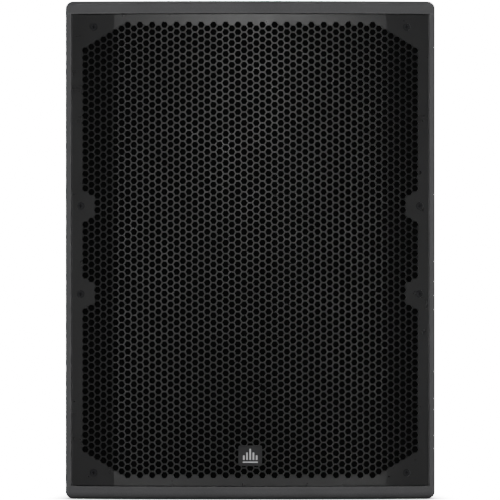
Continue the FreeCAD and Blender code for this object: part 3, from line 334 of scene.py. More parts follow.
def birch_ply(inside=None):
    """Bare birch veneer with faint long grain; black outside a range of depths, if any."""
    g = Graph("birch_ply" if inside is None else "birch_ply_inside")
    grain = g.noise(60.0, 5.0, 0.6, g.stretched((6.0, 6.0, 0.5)))
    layers = g.bands(120.0, "Y", 1.0)
    tone = g.ramp(grain, [(0.30, (0.42, 0.27, 0.14)), (0.55, (0.58, 0.42, 0.25)),
                          (0.75, (0.66, 0.50, 0.32))])
    tone = g.mix(0.12, tone, g.ramp(layers, [(0.4, (0.30, 0.19, 0.10)),
                                             (0.6, (0.70, 0.55, 0.36))]))
    if inside is not None:
        _, depth, _ = g.axes()
        behind = g.maths("GREATER_THAN", depth, inside[0])
        before = g.maths("LESS_THAN", depth, inside[1])
        tone = g.mix(g.maths("MULTIPLY", behind, before), (0.03, 0.03, 0.031), tone)
    g.set(Base_Color=tone, Roughness=g.remap(grain, 0.52, 0.72), Metallic=0.0)
    g.bump(grain, 0.0002, 0.5)
    return g.material


def black_wood():
    """Plywood under a thin matt black stain, grain still showing."""
    g = Graph("black_stained_ply")
    grain = g.noise(70.0, 5.0, 0.6, g.stretched((5.0, 5.0, 0.5)))
    g.set(Base_Color=g.ramp(grain, [(0.3, (0.010, 0.009, 0.009)), (0.7, (0.022, 0.020, 0.018))]),
          Roughness=g.remap(grain, 0.65, 0.85), Metallic=0.0)
    g.bump(grain, 0.0003, 0.6)
    return g.material


def open_foam(name, dark, light):
    """Open-cell foam: pits with thin pale walls."""
    g = Graph(name)
    pores = g.cells(900.0)
    lumps = g.noise(160.0, 4.0)
    g.set(Base_Color=g.ramp(pores, [(0.15, dark), (0.6, light)]), Roughness=0.97, Metallic=0.0)
    g.bump(g.maths("ADD", pores, lumps), 0.0012, 0.9)
    g.shader.inputs["Specular IOR Level"].default_value = 0.02
    return g.material


def fleece():
    """Matted polyester fibres."""
    g = Graph("fleece")
    fibres = g.noise(240.0, 6.0, 0.75, g.stretched((1.0, 2.5, 0.35)))
    clumps = g.noise(30.0, 5.0)
    g.set(Base_Color=g.mix(0.5, g.ramp(fibres, [(0.3, (0.48, 0.47, 0.44)),
                                                (0.7, (0.86, 0.85, 0.82))]),
                           g.ramp(clumps, [(0.3, (0.60, 0.59, 0.56)), (0.7, (0.84, 0.83, 0.80))])),
          Roughness=0.95, Metallic=0.0)
    g.bump(g.maths("ADD", fibres, clumps), 0.003, 0.9)
    g.shader.inputs["Sheen Weight"].default_value = 0.3
    return g.material


def woven(name, colour, scale, height):
    """Plain weave: threads crossing at right angles."""
    g = Graph(name)
    weft = g.bands(scale, "X", 0.6)
    warp = g.bands(scale, "Z", 0.6)
    weave = g.maths("MULTIPLY", weft, warp)
    g.set(Base_Color=g.ramp(weave, [(0.1, shade(colour, 0.55)), (0.8, shade(colour, 1.25))]),
          Roughness=g.remap(g.noise(200.0), 0.6, 0.8), Metallic=0.0)
    g.bump(weave, height, 0.8)
    return g.material


def brushed(name, colour, roughness, scale=(40.0, 2.0, 40.0)):
    """Metal with fine lathe marks and small stains."""
    g = Graph(name)
    lines = g.noise(60.0, 4.0, 0.7, g.stretched(scale))
    stains = g.noise(25.0, 4.0)
    g.set(Base_Color=g.ramp(stains, [(0.3, shade(colour, 0.78)), (0.7, shade(colour, 1.08))]),
          Roughness=g.remap(lines, roughness - 0.1, roughness + 0.15), Metallic=1.0)
    g.bump(lines, 0.00006, 0.5)
    return g.material


def wound(name, colour, scale, axis):
    """Close turns of enamelled wire."""
    g = Graph(name)
    turns = g.bands(scale, axis, 0.3)
    g.set(Base_Color=g.ramp(turns, [(0.1, shade(colour, 0.35)), (0.6, colour)]),
          Roughness=g.remap(g.noise(80.0), 0.22, 0.36), Metallic=0.9)
    g.bump(turns, 0.0006, 0.9)
    return g.material


def pressed_paper():
    """Cone paper: felted fibres with faint concentric pressing marks."""
    g = Graph("pressed_paper")
    fibres = g.noise(500.0, 6.0, 0.8)
    clumps = g.noise(70.0, 4.0)
    g.set(Base_Color=g.mix(0.5, g.ramp(fibres, [(0.3, (0.018, 0.018, 0.019)),
                                                (0.7, (0.045, 0.044, 0.043))]),
                           g.ramp(clumps, [(0.3, (0.022, 0.022, 0.022)),
                                           (0.7, (0.036, 0.036, 0.035))])),
          Roughness=g.remap(clumps, 0.72, 0.9), Metallic=0.0)
    g.bump(fibres, 0.0002, 0.8)
    return g.material


def circuit_green():
    """Green lacquer with lighter tracks and a fine glass weave."""
    g = Graph("circuit_green")
    tracks = g.cells(55.0, feature="DISTANCE_TO_EDGE")
    weave = g.maths("MULTIPLY", g.bands(300.0, "X"), g.bands(300.0, "Y"))
    g.set(Base_Color=g.ramp(tracks, [(0.03, (0.10, 0.36, 0.16)), (0.06, (0.03, 0.17, 0.07))]),
          Roughness=g.remap(weave, 0.28, 0.42), Metallic=0.0)
    g.bump(tracks, 0.0001, 0.4)
    return g.material


def recessed_screw():
    """Black zinc, with painted shade making it near black down in the drive recess, where it is
    also duller.
    """
    g = Graph("black_zinc_screw")
    # clear is 1 on the open head and falls inside the drive recess; it drives the painted shade
    # there.
    clear = g.remap(g.openness(0.003), 0.0, 1.0, from_low=0.45, from_high=0.85)
    wear = g.noise(60.0, 3.0)
    zinc = g.ramp(wear, [(0.3, (0.016, 0.016, 0.018)), (0.7, (0.022, 0.022, 0.024))])
    # Painted shade: the base colour goes near black where the recess closes in.
    g.set(Base_Color=g.mix(clear, (0.001, 0.001, 0.001), zinc),
          Roughness=g.remap(clear, 0.95, 0.42, from_low=0.0, from_high=1.0), Metallic=0.6)
    g.bump(g.noise(1500.0, 2.0), 0.00005)
    return g.material


def marked_knob():
    """Black knob with a white line from near its middle to the tip of its pointer."""
    half_line = 0.0008
    line_start = 0.001
    face_skin = 0.0005
    low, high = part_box("mode_knob")
    g = Graph("marked_knob")
    across, depth, up = g.axes()
    thin = g.maths("LESS_THAN", g.maths("ABSOLUTE", across), half_line)
    upper = g.maths("GREATER_THAN", up, (low.z + high.z) / 2 + line_start)
    outer = g.maths("GREATER_THAN", depth, high.y - face_skin)
    line = g.maths("MULTIPLY", g.maths("MULTIPLY", thin, upper), outer)
    wear = g.noise(300.0, 3.0)
    black = g.ramp(wear, [(0.3, (0.012, 0.012, 0.013)), (0.7, (0.022, 0.022, 0.023))])
    g.set(Base_Color=g.mix(line, black, (0.75, 0.75, 0.73)),
          Roughness=g.remap(wear, 0.34, 0.46), Metallic=0.0)
    g.bump(g.noise(1100.0), 0.00005)
    return g.material


def film_wrap():
    """Ochre film capacitor wrap with a darker end band."""
    g = Graph("capacitor_film")
    wrap = g.bands(90.0, "Y", 0.5)
    g.set(Base_Color=g.ramp(wrap, [(0.2, (0.44, 0.30, 0.06)), (0.8, (0.62, 0.46, 0.12))]),
          Roughness=g.remap(g.noise(70.0), 0.25, 0.4), Metallic=0.0)
    g.bump(wrap, 0.00012, 0.5)
    return g.material


paint = cabinet_paint()
ply = birch_ply()
stained = black_wood()
powder = grille_paint()
foam_black = open_foam("grille_foam_black", (0.001, 0.001, 0.001), (0.004, 0.004, 0.004))
wool = fleece()
screw_black = recessed_screw()
steel = brushed("zinc_plated_steel", (0.62, 0.61, 0.58), 0.32)
dark_steel = brushed("insert_steel", (0.30, 0.30, 0.30), 0.36)
ferrite = plain("ferrite", (0.10, 0.10, 0.105),
                roughness=0.5, metallic=0.2, grain=700.0, height=0.0002)
cast = plain("cast_frame_paint", (0.035, 0.035, 0.037),
             roughness=0.48, metallic=0.0, grain=500.0, height=0.0003)
moulded = plain("moulded_plastic", (0.022, 0.022, 0.023),
                roughness=0.5, metallic=0.0, grain=1100.0, height=0.00012)
dish_paint = plain("pressed_steel_paint", (0.024, 0.024, 0.025),
                   roughness=0.40, metallic=0.0, grain=800.0, height=0.00012)
gloss_black = plain("socket_plastic", (0.010, 0.010, 0.0105),
                    roughness=0.30, metallic=0.0, grain=1200.0, height=0.00003)
badge_paint = plain("badge_satin_black", (0.010, 0.010, 0.0105),
                    roughness=0.52, metallic=0.0, grain=1200.0, height=0.00004)
badge_grey = plain("badge_light_grey", (0.42, 0.42, 0.43),
                   roughness=0.40, metallic=0.2, grain=1200.0, height=0.00004)
rubber = plain("grip_rubber", (0.020, 0.020, 0.020),
               roughness=0.68, metallic=0.0, grain=1300.0, height=0.00015)
sheath = plain("cable_sheath", (0.020, 0.020, 0.021),
               roughness=0.55, metallic=0.0, grain=1300.0, height=0.0001)
paper = pressed_paper()
cloth = woven("doped_cloth", (0.030, 0.030, 0.031), 420.0, 0.0002)
spider_cloth = woven("spider_cloth", (0.50, 0.36, 0.14), 420.0, 0.0002)
fibre = plain("gasket_fibre", (0.045, 0.042, 0.038),
              roughness=0.85, metallic=0.0, grain=700.0, height=0.0003)
titanium = brushed("formed_titanium", (0.66, 0.66, 0.68), 0.28, (20.0, 20.0, 20.0))
copper_coil = wound("voice_coil_wire", (0.80, 0.40, 0.20), 700.0, "Y")
copper_choke = wound("inductor_wire", (0.78, 0.36, 0.16), 300.0, "Z")

LOOKS = {
    paint: ("top_panel", "bottom_panel", "side_panel_left", "side_panel_right", "rear_panel"),
    stained: ("baffle", "grille_batten_left", "grille_batten_right"),
    ply: ("brace",),
    moulded: ("port_tube_left", "port_tube_right", "horn_flare", "driver_cover",
              "driver_phase_plug", "woofer_terminals", "mode_switch"),
    gloss_black: ("speaker_sockets",),
    marked_knob(): ("mode_knob",),
    screw_black: ("grille_screws", "horn_screws", "input_screws", "handle_screws",
                  "pole_screws", "woofer_bolts", "driver_bolts"),
    badge_paint: ("badge_plate",),
    badge_grey: ("badge_emblem",),
    cast: ("woofer_basket",),
    fibre: ("woofer_gasket",),
    cloth: ("woofer_surround",),
    paper: ("woofer_cone", "woofer_dust_cap"),
    copper_coil: ("woofer_coil",),
    spider_cloth: ("woofer_spider",),
    steel: ("woofer_top_plate", "woofer_yoke", "driver_yoke", "driver_top_plate",
            "woofer_tee_nuts", "crossover_standoffs"),
    ferrite: ("woofer_magnet", "driver_magnet"),
    titanium: ("driver_diaphragm", "driver_suspension"),
    circuit_green(): ("crossover_board",),
    copper_choke: ("crossover_inductors",),
    film_wrap(): ("crossover_capacitors",),
    dish_paint: ("input_dish", "handle_cup_left", "handle_cup_right", "pole_socket"),
    rubber: ("handle_grip_left", "handle_grip_right"),
    dark_steel: ("rigging_inserts",),
    sheath: ("woofer_cable", "driver_cable", "input_cable"),
    powder: ("grille",),
    foam_black: ("grille_foam",),
    wool: ("wadding",),
}
for look, names in LOOKS.items():
    for name in names:
        nodes[name].data.materials.clear()
        nodes[name].data.materials.append(look)
        smooth(nodes[name])

HALF_BOARD = 0.009                 # half the thickness of a plywood board
INSIDE_FACE = math.cos(math.radians(20))
ply_inside = birch_ply((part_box("baffle")[0].y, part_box("rear_panel")[1].y - HALF_BOARD))


def bare_inside(name, direction):
    """Leaves the faces of a board that look into the cabinet as bare plywood."""
    mesh = nodes[name].data
    mesh.materials.append(ply_inside)
    for polygon in mesh.polygons:
        if polygon.normal.dot(Vector(direction)) > INSIDE_FACE:
            polygon.material_index = 1


bare_inside("top_panel", (0, 0, -1))
bare_inside("bottom_panel", (0, 0, 1))
bare_inside("rear_panel", (0, -1, 0))
bare_inside("side_panel_left", (1, 0, 0))
bare_inside("side_panel_right", (-1, 0, 0))


# ---- perforated grille ---------------------------------------------------------------------
grille_low, grille_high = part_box("grille")
MID_Z = (grille_low.z + grille_high.z) / 2
HALF_ALONG = along_at(grille_high.x)
HALF_TALL = (grille_high.z - grille_low.z) / 2

CELL_TIP = COLUMN_PITCH * 2 / 3     # from the cell's middle to its side point
CELL_FLAT = COLUMN_PITCH / 3        # half the length of its level sides
CELL_TALL = ROW_PITCH / 2


def hole_centres():
    """Middle of every hole on the flat sheet, as (along, up from the middle)."""
    found = []
    middle = (COLUMNS - 1) // 2
    spare = 0.01                   # of a row, so that rounding never drops the last hole
    for column in range(COLUMNS):
        from_side = min(column, COLUMNS - 1 - column)
        reach = ROWS_REACH - max(0, CORNER_COLUMNS - from_side) * CELL_TALL
        first = 0.0 if column % 2 else CELL_TALL
        along = (column - middle) * COLUMN_PITCH
        steps = int((reach - first) / ROW_PITCH + spare)
        ups = [first + i * ROW_PITCH for i in range(steps + 1)]
        ups += [-u for u in ups if u > 0]
        for up in ups:
            near_screw = any(math.hypot(abs(along) - along_at(SIDE_SCREWS_X), MID_Z + up - z)
                             < SCREW_CLEARING for z in SIDE_SCREWS_Z)
            if not near_screw:
                found.append((along, up))
    return found


def hexagon(share):
    """Corners of a cell shrunk by the share, round its middle."""
    tip = CELL_TIP * share
    flat = CELL_FLAT * share
    tall = CELL_TALL * share
    return [(tip, 0), (flat, tall), (-flat, tall), (-tip, 0), (-flat, -tall), (flat, -tall)]


def place_key(along, up):
    """The same for two points in the same place."""
    return round(along, SAME_PLACE), round(up, SAME_PLACE)


def in_cell(along, up, centres):
    """Whether a point lies in the cell of one of the holes."""
    column = round(along / COLUMN_PITCH)
    for c in (column - 1, column, column + 1):
        start = CELL_TALL if (c + (COLUMNS - 1) // 2) % 2 == 0 else 0.0
        for row in (math.floor((up - start) / ROW_PITCH), math.ceil((up - start) / ROW_PITCH)):
            key = place_key(c * COLUMN_PITCH, start + row * ROW_PITCH)
            if key not in centres:
                continue
            dx = abs(along - key[0])
            dz = abs(up - key[1])
            slant = (CELL_TIP - dx) / (CELL_TIP - CELL_FLAT) * CELL_TALL
            if dz < CELL_TALL and dx < CELL_TIP and dz < slant:
                return True
    return False


def flat_grille():
    """The flat sheet: points, faces and for each point how deep its chamfer has sunk it."""
    points = []
    faces = []
    sunk = []
    shared = {}

    def point(along, up, depth=0.0):
        points.append((along, up))
        sunk.append(depth)
        return len(points) - 1

    def corner_point(along, up):
        """The point where cells meet, made once for all of them."""
        key = place_key(along, up)
        if key not in shared:
            shared[key] = point(along, up)
        return shared[key]

    holes = hole_centres()
    chamfer_share = HOLE_SHARE + 2 * HOLE_CHAMFER / ROW_PITCH
    edge_use = {}
    for along, up in holes:
        outer = [corner_point(along + dx, up + dz) for dx, dz in hexagon(1.0)]
        rim = [point(along + dx, up + dz) for dx, dz in hexagon(chamfer_share)]
        wall = [point(along + dx, up + dz, HOLE_CHAMFER) for dx, dz in hexagon(HOLE_SHARE)]
        for i in range(6):
            j = (i + 1) % 6
            faces.append((outer[i], outer[j], rim[j], rim[i]))
            faces.append((rim[i], rim[j], wall[j], wall[i]))
            edge = tuple(sorted((outer[i], outer[j])))
            edge_use[edge] = edge_use.get(edge, 0) + 1

    outline_edges = [edge for edge, uses in edge_use.items() if uses == 1]
    used = sorted({i for edge in outline_edges for i in edge})
    loose = [points[i] for i in used]
    place = {i: n for n, i in enumerate(used)}
    edges = [(place[a], place[b]) for a, b in outline_edges]

    def ring(ring_points):
        """Adds a closed line of loose points that the triangles must follow."""
        first = len(loose)
        loose.extend(ring_points)
        count = len(ring_points)
        edges.extend((first + i, first + (i + 1) % count) for i in range(count))

    right = [BOW_ARC * i / BOW_STEPS for i in range(1, BOW_STEPS + 1)]
    right += [BOW_ARC + (HALF_ALONG - BOW_ARC) * i / FACET_STEPS
              for i in range(1, FACET_STEPS + 1)]
    across = [-s for s in reversed(right)] + [0.0] + right
    tall = [i / SIDE_STEPS * HALF_TALL for i in range(1 - SIDE_STEPS, SIDE_STEPS)]
    ring([(s, -HALF_TALL) for s in across] + [(HALF_ALONG, t) for t in tall]
         + [(s, HALF_TALL) for s in reversed(across)] + [(-HALF_ALONG, t) for t in reversed(tall)])
    screws = [(side * along_at(x), z - MID_Z) for side in (-1, 1)
              for x, zs in ((SIDE_SCREWS_X, SIDE_SCREWS_Z), (CORNER_SCREWS_X, CORNER_SCREWS_Z))
              for z in zs]
    for s, t in screws:
        turns = (2 * math.pi * i / SCREW_RING_POINTS for i in range(SCREW_RING_POINTS))
        ring([(s + SCREW_HOLE_R * math.cos(a), t + SCREW_HOLE_R * math.sin(a)) for a in turns])
    for side in (-1, 1):
        for inset in MARGIN_LINES:
            loose.extend((s, side * (HALF_TALL - inset)) for s in across[2:-2])

    flat, _, triangles, _, _, _ = delaunay_2d_cdt([Vector(p) for p in loose], edges, [], 0, 1e-7)
    centres = {place_key(s, t) for s, t in holes}
    index = {place_key(*points[i]): i for i in used}
    final = []
    for p in flat:
        key = place_key(p.x, p.y)
        final.append(index[key] if key in index else point(p.x, p.y))
    for triangle in triangles:
        s = sum(flat[i].x for i in triangle) / 3
        t = sum(flat[i].y for i in triangle) / 3
        if abs(s) > HALF_ALONG or abs(t) > HALF_TALL or in_cell(s, t, centres):
            continue
        if any(math.hypot(s - a, t - b) < SCREW_HOLE_R for a, b in screws):
            continue
        faces.append(tuple(final[i] for i in triangle))
    return points, faces, sunk


def build_grille():
    """Bends the flat sheet round the front and gives it its thickness."""
    points, faces, sunk = flat_grille()
    used = sorted({i for face in faces for i in face})
    place = {old: new for new, old in enumerate(used)}
    front = [bent(points[i][0], MID_Z + points[i][1], grille_low.y, sunk[i]) for i in used]
    back = [bent(points[i][0], MID_Z + points[i][1], grille_low.y, SHEET_T) for i in used]
    top_faces = []
    for face in faces:
        face = tuple(place[i] for i in face)
        (ax, az), (bx, bz), (cx, cz) = (points[used[i]] for i in face[:3])
        clockwise = (bx - ax) * (cz - az) - (bz - az) * (cx - ax) < 0
        top_faces.append(tuple(reversed(face)) if clockwise else face)
    uses = {}
    for face in top_faces:
        for a, b in zip(face, face[1:] + face[:1]):
            uses[(a, b)] = uses.get((a, b), 0) + 1
    rim = [(a, b) for a, b in uses if (b, a) not in uses]
    count = len(used)
    body = top_faces + [tuple(i + count for i in reversed(face)) for face in top_faces]
    body += [(b, a, a + count, b + count) for a, b in rim]
    made = new_object("grille_perforated", front + back, body, powder)
    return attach(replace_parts(made, "grille"), CABINET)


build_grille()


# ---- foam and wadding ----------------------------------------------------------------------
LUMPS = 55                         # lumps a metre in a soft surface
FINE_LUMPS = 240
RIM_SHARE = 0.6                    # of the thickness: how far in from its rim a slab is rounded
RIM_TUCK = 0.35                    # of the thickness: how far its rim is drawn in on each face


def lumpy_slab(name, low_u, high_u, low_v, high_v, step, surface_point, thickness, relief,
               material):
    """A closed soft slab: a grid on each face, rounded at the rim, with an uneven surface.
    surface_point(u, v, depth) gives the place of a point depth behind the front face."""
    nu = max(2, round((high_u - low_u) / step))
    nv = max(2, round((high_v - low_v) / step))
    vertices = []
    for layer in (0, 1):
        for i in range(nu + 1):
            for j in range(nv + 1):
                u = low_u + (high_u - low_u) * i / nu
                v = low_v + (high_v - low_v) * j / nv
                rim = min(i, nu - i, j, nv - j) * step
                tuck = max(0.0, 1 - rim / (thickness * RIM_SHARE)) ** 2 * thickness * RIM_TUCK
                wave = noise.noise(Vector((u * LUMPS, v * LUMPS, layer * 9.0)))
                fine = noise.noise(Vector((u * FINE_LUMPS, v * FINE_LUMPS, layer * 5.0 + 3.0)))
                dent = relief * (0.5 + 0.35 * wave + 0.15 * fine)
                depth = tuck + dent if layer == 0 else thickness - tuck - dent
                vertices.append(surface_point(u, v, depth))
    faces = []

    def at(layer, i, j):
        """Number of a grid point."""
        return layer * (nu + 1) * (nv + 1) + i * (nv + 1) + j

    for i in range(nu):
        for j in range(nv):
            faces.append((at(0, i, j), at(0, i + 1, j), at(0, i + 1, j + 1), at(0, i, j + 1)))
            faces.append((at(1, i, j), at(1, i, j + 1), at(1, i + 1, j + 1), at(1, i + 1, j)))
    for i in range(nu):
        faces.append((at(0, i, 0), at(1, i, 0), at(1, i + 1, 0), at(0, i + 1, 0)))
        faces.append((at(0, i, nv), at(0, i + 1, nv), at(1, i + 1, nv), at(1, i, nv)))
    for j in range(nv):
        faces.append((at(0, 0, j), at(0, 0, j + 1), at(1, 0, j + 1), at(1, 0, j)))
        faces.append((at(0, nu, j), at(1, nu, j), at(1, nu, j + 1), at(0, nu, j + 1)))
    made = new_object(name, vertices, faces, material)
    smooth(made, 60.0)
    return made


foam_low, foam_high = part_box("grille_foam")
FOAM_T = 0.008
FOAM_STEP = 0.0045
FOAM_RELIEF = 0.0008
FOAM_END_GAP = 0.0016              # keeps the foam's slanted ends inside its CAD width
foam_reach = along_at(foam_high.x) - FOAM_END_GAP
foam_sheet = lumpy_slab(
    "foam_sheet", -foam_reach, foam_reach, foam_low.z, foam_high.z, FOAM_STEP,
    lambda u, v, depth: bent(u, v, foam_low.y, depth), FOAM_T, FOAM_RELIEF, foam_black)
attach(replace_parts(foam_sheet, "grille_foam"), CABINET)

pad_low, pad_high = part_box("wadding")
brace_low, brace_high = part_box("brace")
PAD_GAP = 0.004                    # between the wadding and the brace
PAD_STEP = 0.006
PAD_RELIEF = 0.009
PADS = (("wadding_lower", pad_low.z, brace_low.z - PAD_GAP),
        ("wadding_upper", brace_high.z + PAD_GAP, pad_high.z))
for name, low_z, high_z in PADS:
    pad = lumpy_slab(name, pad_low.x, pad_high.x, low_z, high_z, PAD_STEP,
                     lambda u, v, depth: Vector((u, pad_low.y + depth, v)),
                     pad_high.y - pad_low.y, PAD_RELIEF, wool)
    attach(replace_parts(pad, "wadding"), CABINET)


# ---- flexing rings -------------------------------------------------------------------------
def turned(name, profile, centre_z, material, around=160):
    """A closed (radius, y) outline turned about the line along Y at height centre_z."""
    vertices = []
    for i in range(around):
        turn = 2 * math.pi * i / around
        for radius, y in profile:
            vertices.append((radius * math.cos(turn), y, centre_z + radius * math.sin(turn)))
    size = len(profile)
    faces = []
    for i in range(around):
        j = (i + 1) % around
        for k in range(size):
            m = (k + 1) % size
            faces.append((i * size + k, i * size + m, j * size + m, j * size + k))
    made = new_object(name, vertices, faces, material)
    smooth(made, 50.0)
    return made


def flexing(made, node):
    """Puts a ring in place of the CAD part it stands for, with the ring's placement baked into its
    mesh."""
    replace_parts(made, node)
    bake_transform(made)


def outline(front, thickness):
    """A closed outline from the front points of a sheet and its thickness."""
    return front + [(r, y + thickness) for r, y in reversed(front)]


surround_low, surround_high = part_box("woofer_surround")
WOOFER_Z = (surround_low.z + surround_high.z) / 2
ROLL_R0 = 0.150                    # cone edge
ROLL_R1 = 0.169                    # inner edge of the flange
GLUE_R = 0.144                     # inner edge of the lip glued to the cone
CLOTH = 0.0006
roll_mid = (ROLL_R0 + ROLL_R1) / 2
roll_r = surround_high.y - CLOTH - surround_low.y
ROLL_STEPS = 28
roll = [(roll_mid - roll_r * math.cos(math.pi * i / ROLL_STEPS),
         surround_high.y - CLOTH - roll_r * math.sin(math.pi * i / ROLL_STEPS))
        for i in range(ROLL_STEPS + 1)]
surround_front = [(GLUE_R, surround_high.y - CLOTH)] + roll
surround_front += [((ROLL_R1 + surround_high.x) / 2, surround_high.y - CLOTH),
                   (surround_high.x, surround_high.y - CLOTH)]
surround = turned("surround_roll", outline(surround_front, CLOTH), WOOFER_Z, cloth)
flexing(surround, "woofer_surround")

spider_low, spider_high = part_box("woofer_spider")
SPIDER_NECK_R = 0.038
SPIDER_FLEX = (0.042, 0.082)       # corrugated part
SPIDER_WAVES = 5
SPIDER_WAVE_STEPS = 16
spider_mid = (spider_low.y + spider_high.y - CLOTH) / 2
spider_swing = (spider_high.y - CLOTH - spider_low.y) / 2
spider_front = [(SPIDER_NECK_R, spider_mid)]
spider_steps = SPIDER_WAVES * SPIDER_WAVE_STEPS
for i in range(spider_steps + 1):
    share = i / spider_steps
    spider_front.append((SPIDER_FLEX[0] + (SPIDER_FLEX[1] - SPIDER_FLEX[0]) * share,
                         spider_mid + spider_swing * math.sin(2 * math.pi * SPIDER_WAVES * share)))
spider_front.append((spider_high.x, spider_mid))
spider = turned("spider_disc", outline(spider_front, CLOTH), WOOFER_Z, spider_cloth)
flexing(spider, "woofer_spider")

hf_low, hf_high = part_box("driver_suspension")
HORN_Z = (hf_low.z + hf_high.z) / 2
HF_COIL_R = 0.0223
HF_ROLL_R = 0.029
HF_FOIL = 0.0004
HF_CLAMP_T = 0.0015                # thickness of the clamping ring
HF_LIFT = 0.0006                   # of the foil above the clamping ring's back
HF_ARCH = 0.7                      # height of the roll over its half width
HF_STEPS = 14
hf_mid = (HF_COIL_R + HF_ROLL_R) / 2
hf_half = (HF_ROLL_R - HF_COIL_R) / 2
hf_top = [(hf_mid - hf_half * math.cos(math.pi * i / HF_STEPS),
           hf_low.y + HF_LIFT + HF_FOIL + hf_half * HF_ARCH * math.sin(math.pi * i / HF_STEPS))
          for i in range(HF_STEPS + 1)]
hf_under = [(r, y - HF_FOIL) for r, y in reversed(hf_top)]
hf_clamp_edge = [(HF_ROLL_R, hf_low.y + HF_CLAMP_T), (hf_high.x, hf_low.y + HF_CLAMP_T),
                 (hf_high.x, hf_low.y), (HF_ROLL_R, hf_low.y)]
hf_ring = turned("hf_suspension_ring", hf_top + hf_clamp_edge + hf_under, HORN_Z, titanium,
                 around=120)
flexing(hf_ring, "driver_suspension")


# ---- camera, stage and light ---------------------------------------------------------------
VIEW_WIDTH = 0.68725               # what the picture spans at the front corners
CAMERA_DISTANCE = 6.5              # from the front corners
CAMERA_X = -0.0003
SENSOR_MM = 36.0

corner_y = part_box("side_panel_right")[0].y
camera_data = bpy.data.cameras.new("camera")
camera_data.sensor_width = SENSOR_MM
camera_data.lens = SENSOR_MM * CAMERA_DISTANCE / VIEW_WIDTH
camera_data.clip_end = 60.0
camera = bpy.data.objects.new("camera", camera_data)
camera.location = (CAMERA_X, corner_y - CAMERA_DISTANCE, HEIGHT / 2)
camera.rotation_euler = (math.radians(90), 0, 0)
bpy.context.scene.collection.objects.link(camera)
bpy.context.scene.camera = camera


def glow(name, strength):
    """Shines from its front side and is clear from behind."""
    material = bpy.data.materials.new(name)
    material.use_nodes = True
    tree = material.node_tree
    tree.nodes.clear()
    emission = tree.nodes.new("ShaderNodeEmission")
    emission.inputs["Strength"].default_value = strength
    output = tree.nodes.new("ShaderNodeOutputMaterial")
    side = tree.nodes.new("ShaderNodeNewGeometry")
    clear = tree.nodes.new("ShaderNodeBsdfTransparent")
    front_only = tree.nodes.new("ShaderNodeMixShader")
    tree.links.new(side.outputs["Backfacing"], front_only.inputs["Fac"])
    tree.links.new(emission.outputs[0], front_only.inputs[1])
    tree.links.new(clear.outputs[0], front_only.inputs[2])
    tree.links.new(front_only.outputs[0], output.inputs["Surface"])
    return material


def only_seen(made):
    """Seen by the camera, but lights nothing and casts no shadow."""
    made.visible_diffuse = False
    made.visible_glossy = False
    made.visible_transmission = False
    made.visible_shadow = False
    return made


STUDIO_R = 14.0
WHITE = 17.0                       # shines white in the picture
# SHADE, SHADE_REACH and SHADE_RANGE set the painted shadow on the glowing white floor.
SHADE = 0.8                        # how bright the white floor is right under the cabinet
SHADE_REACH = 0.045                # how far from the cabinet the floor is greyed
SHADE_RANGE = (0.55, 0.92)         # openness from fully greyed to white
WHITE_FLOOR_Z = -0.0004
FLOOR_Z = -0.0008
RIM_POINTS = 64


def white_with_painted_shadow():
    """A white glowing floor with a painted shadow that greys it a little where the cabinet stands
    close.
    """
    material = glow("white_floor", WHITE)
    tree = material.node_tree
    near = tree.nodes.new("ShaderNodeAmbientOcclusion")
    near.inputs["Distance"].default_value = SHADE_REACH
    near.samples = 8
    level = tree.nodes.new("ShaderNodeMapRange")
    level.inputs["From Min"].default_value = SHADE_RANGE[0]
    level.inputs["From Max"].default_value = SHADE_RANGE[1]
    level.inputs["To Min"].default_value = SHADE
    level.inputs["To Max"].default_value = WHITE
    # Painted shadow: the floor glows less where the cabinet closes it in.
    tree.links.new(near.outputs["AO"], level.inputs["Value"])
    tree.links.new(level.outputs["Result"], tree.nodes["Emission"].inputs["Strength"])
    return material


def disc(name, z, material):
    """A round floor as wide as the studio."""
    turns = (2 * math.pi * i / RIM_POINTS for i in range(RIM_POINTS))
    rim = [(STUDIO_R * math.cos(a), STUDIO_R * math.sin(a), z) for a in turns]
    return new_object(name, rim, [tuple(range(RIM_POINTS))], material)


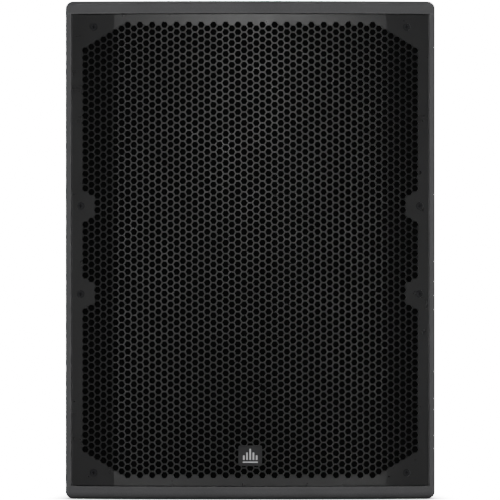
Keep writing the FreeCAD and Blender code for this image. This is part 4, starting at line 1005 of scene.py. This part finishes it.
def studio():
    """A white surround and floor that only the camera sees, and an unseen floor for light."""
    dome = bmesh.new()
    bmesh.ops.create_uvsphere(dome, u_segments=48, v_segments=24, radius=STUDIO_R)
    bmesh.ops.reverse_faces(dome, faces=dome.faces)
    mesh = bpy.data.meshes.new("white_surround")
    dome.to_mesh(mesh)
    dome.free()
    surround = bpy.data.objects.new("white_surround", mesh)
    mesh.materials.append(glow("white_surround", WHITE))
    bpy.context.scene.collection.objects.link(surround)
    white_floor = disc("white_floor", WHITE_FLOOR_Z, white_with_painted_shadow())
    floor = disc("floor", FLOOR_Z, plain("pale_floor", (0.07, 0.07, 0.07), roughness=0.8))
    floor.visible_camera = False
    only_seen(surround)
    only_seen(white_floor)


studio()


def soft_light(name, azimuth, distance, height, size, watts):
    """An area light aimed at the cabinet's middle; azimuth 0 is straight in front of it."""
    data = bpy.data.lights.new(name, "AREA")
    data.shape = "RECTANGLE"
    data.size, data.size_y = size
    data.energy = watts
    lamp = bpy.data.objects.new(name, data)
    turn = math.radians(azimuth)
    lamp.location = (distance * math.sin(turn), -distance * math.cos(turn), height)
    towards = Vector((0, 0, HEIGHT / 2)) - lamp.location
    lamp.rotation_euler = towards.to_track_quat("-Z", "Y").to_euler()
    lamp.visible_camera = False
    bpy.context.scene.collection.objects.link(lamp)
    return lamp


# The key draws the highlight up the bow. The fill is left out of reflections.
soft_light("key", azimuth=0, distance=4.6, height=0.83, size=(0.8, 0.5), watts=18)
fill = soft_light("fill", azimuth=0, distance=4.6, height=2.3, size=(1.2, 1.2), watts=255)
fill.visible_glossy = False
soft_light("back", azimuth=180, distance=5.5, height=0.33, size=(2.4, 0.6), watts=45)
soft_light("top", azimuth=180, distance=4.0, height=3.2, size=(2.5, 2.0), watts=100)
for side in (-1, 1):
    soft_light("flank", azimuth=side * 130, distance=5.0, height=0.9, size=(1.6, 1.6), watts=115)
    # The strips glint along the creases. The sheen is seen only in reflections.
    soft_light("strip", azimuth=side * 11.2, distance=4.6, height=0.22, size=(0.12, 0.65),
               watts=9.5)
    sheen = soft_light("sheen", azimuth=side * 54, distance=4.6, height=0.45, size=(0.8, 0.9),
                       watts=40)
    sheen.visible_diffuse = False

world = bpy.data.worlds.new("studio")
world.use_nodes = True
world.node_tree.nodes["Background"].inputs["Color"].default_value = (1, 1, 1, 1)
world.node_tree.nodes["Background"].inputs["Strength"].default_value = 0.05
bpy.context.scene.world = world
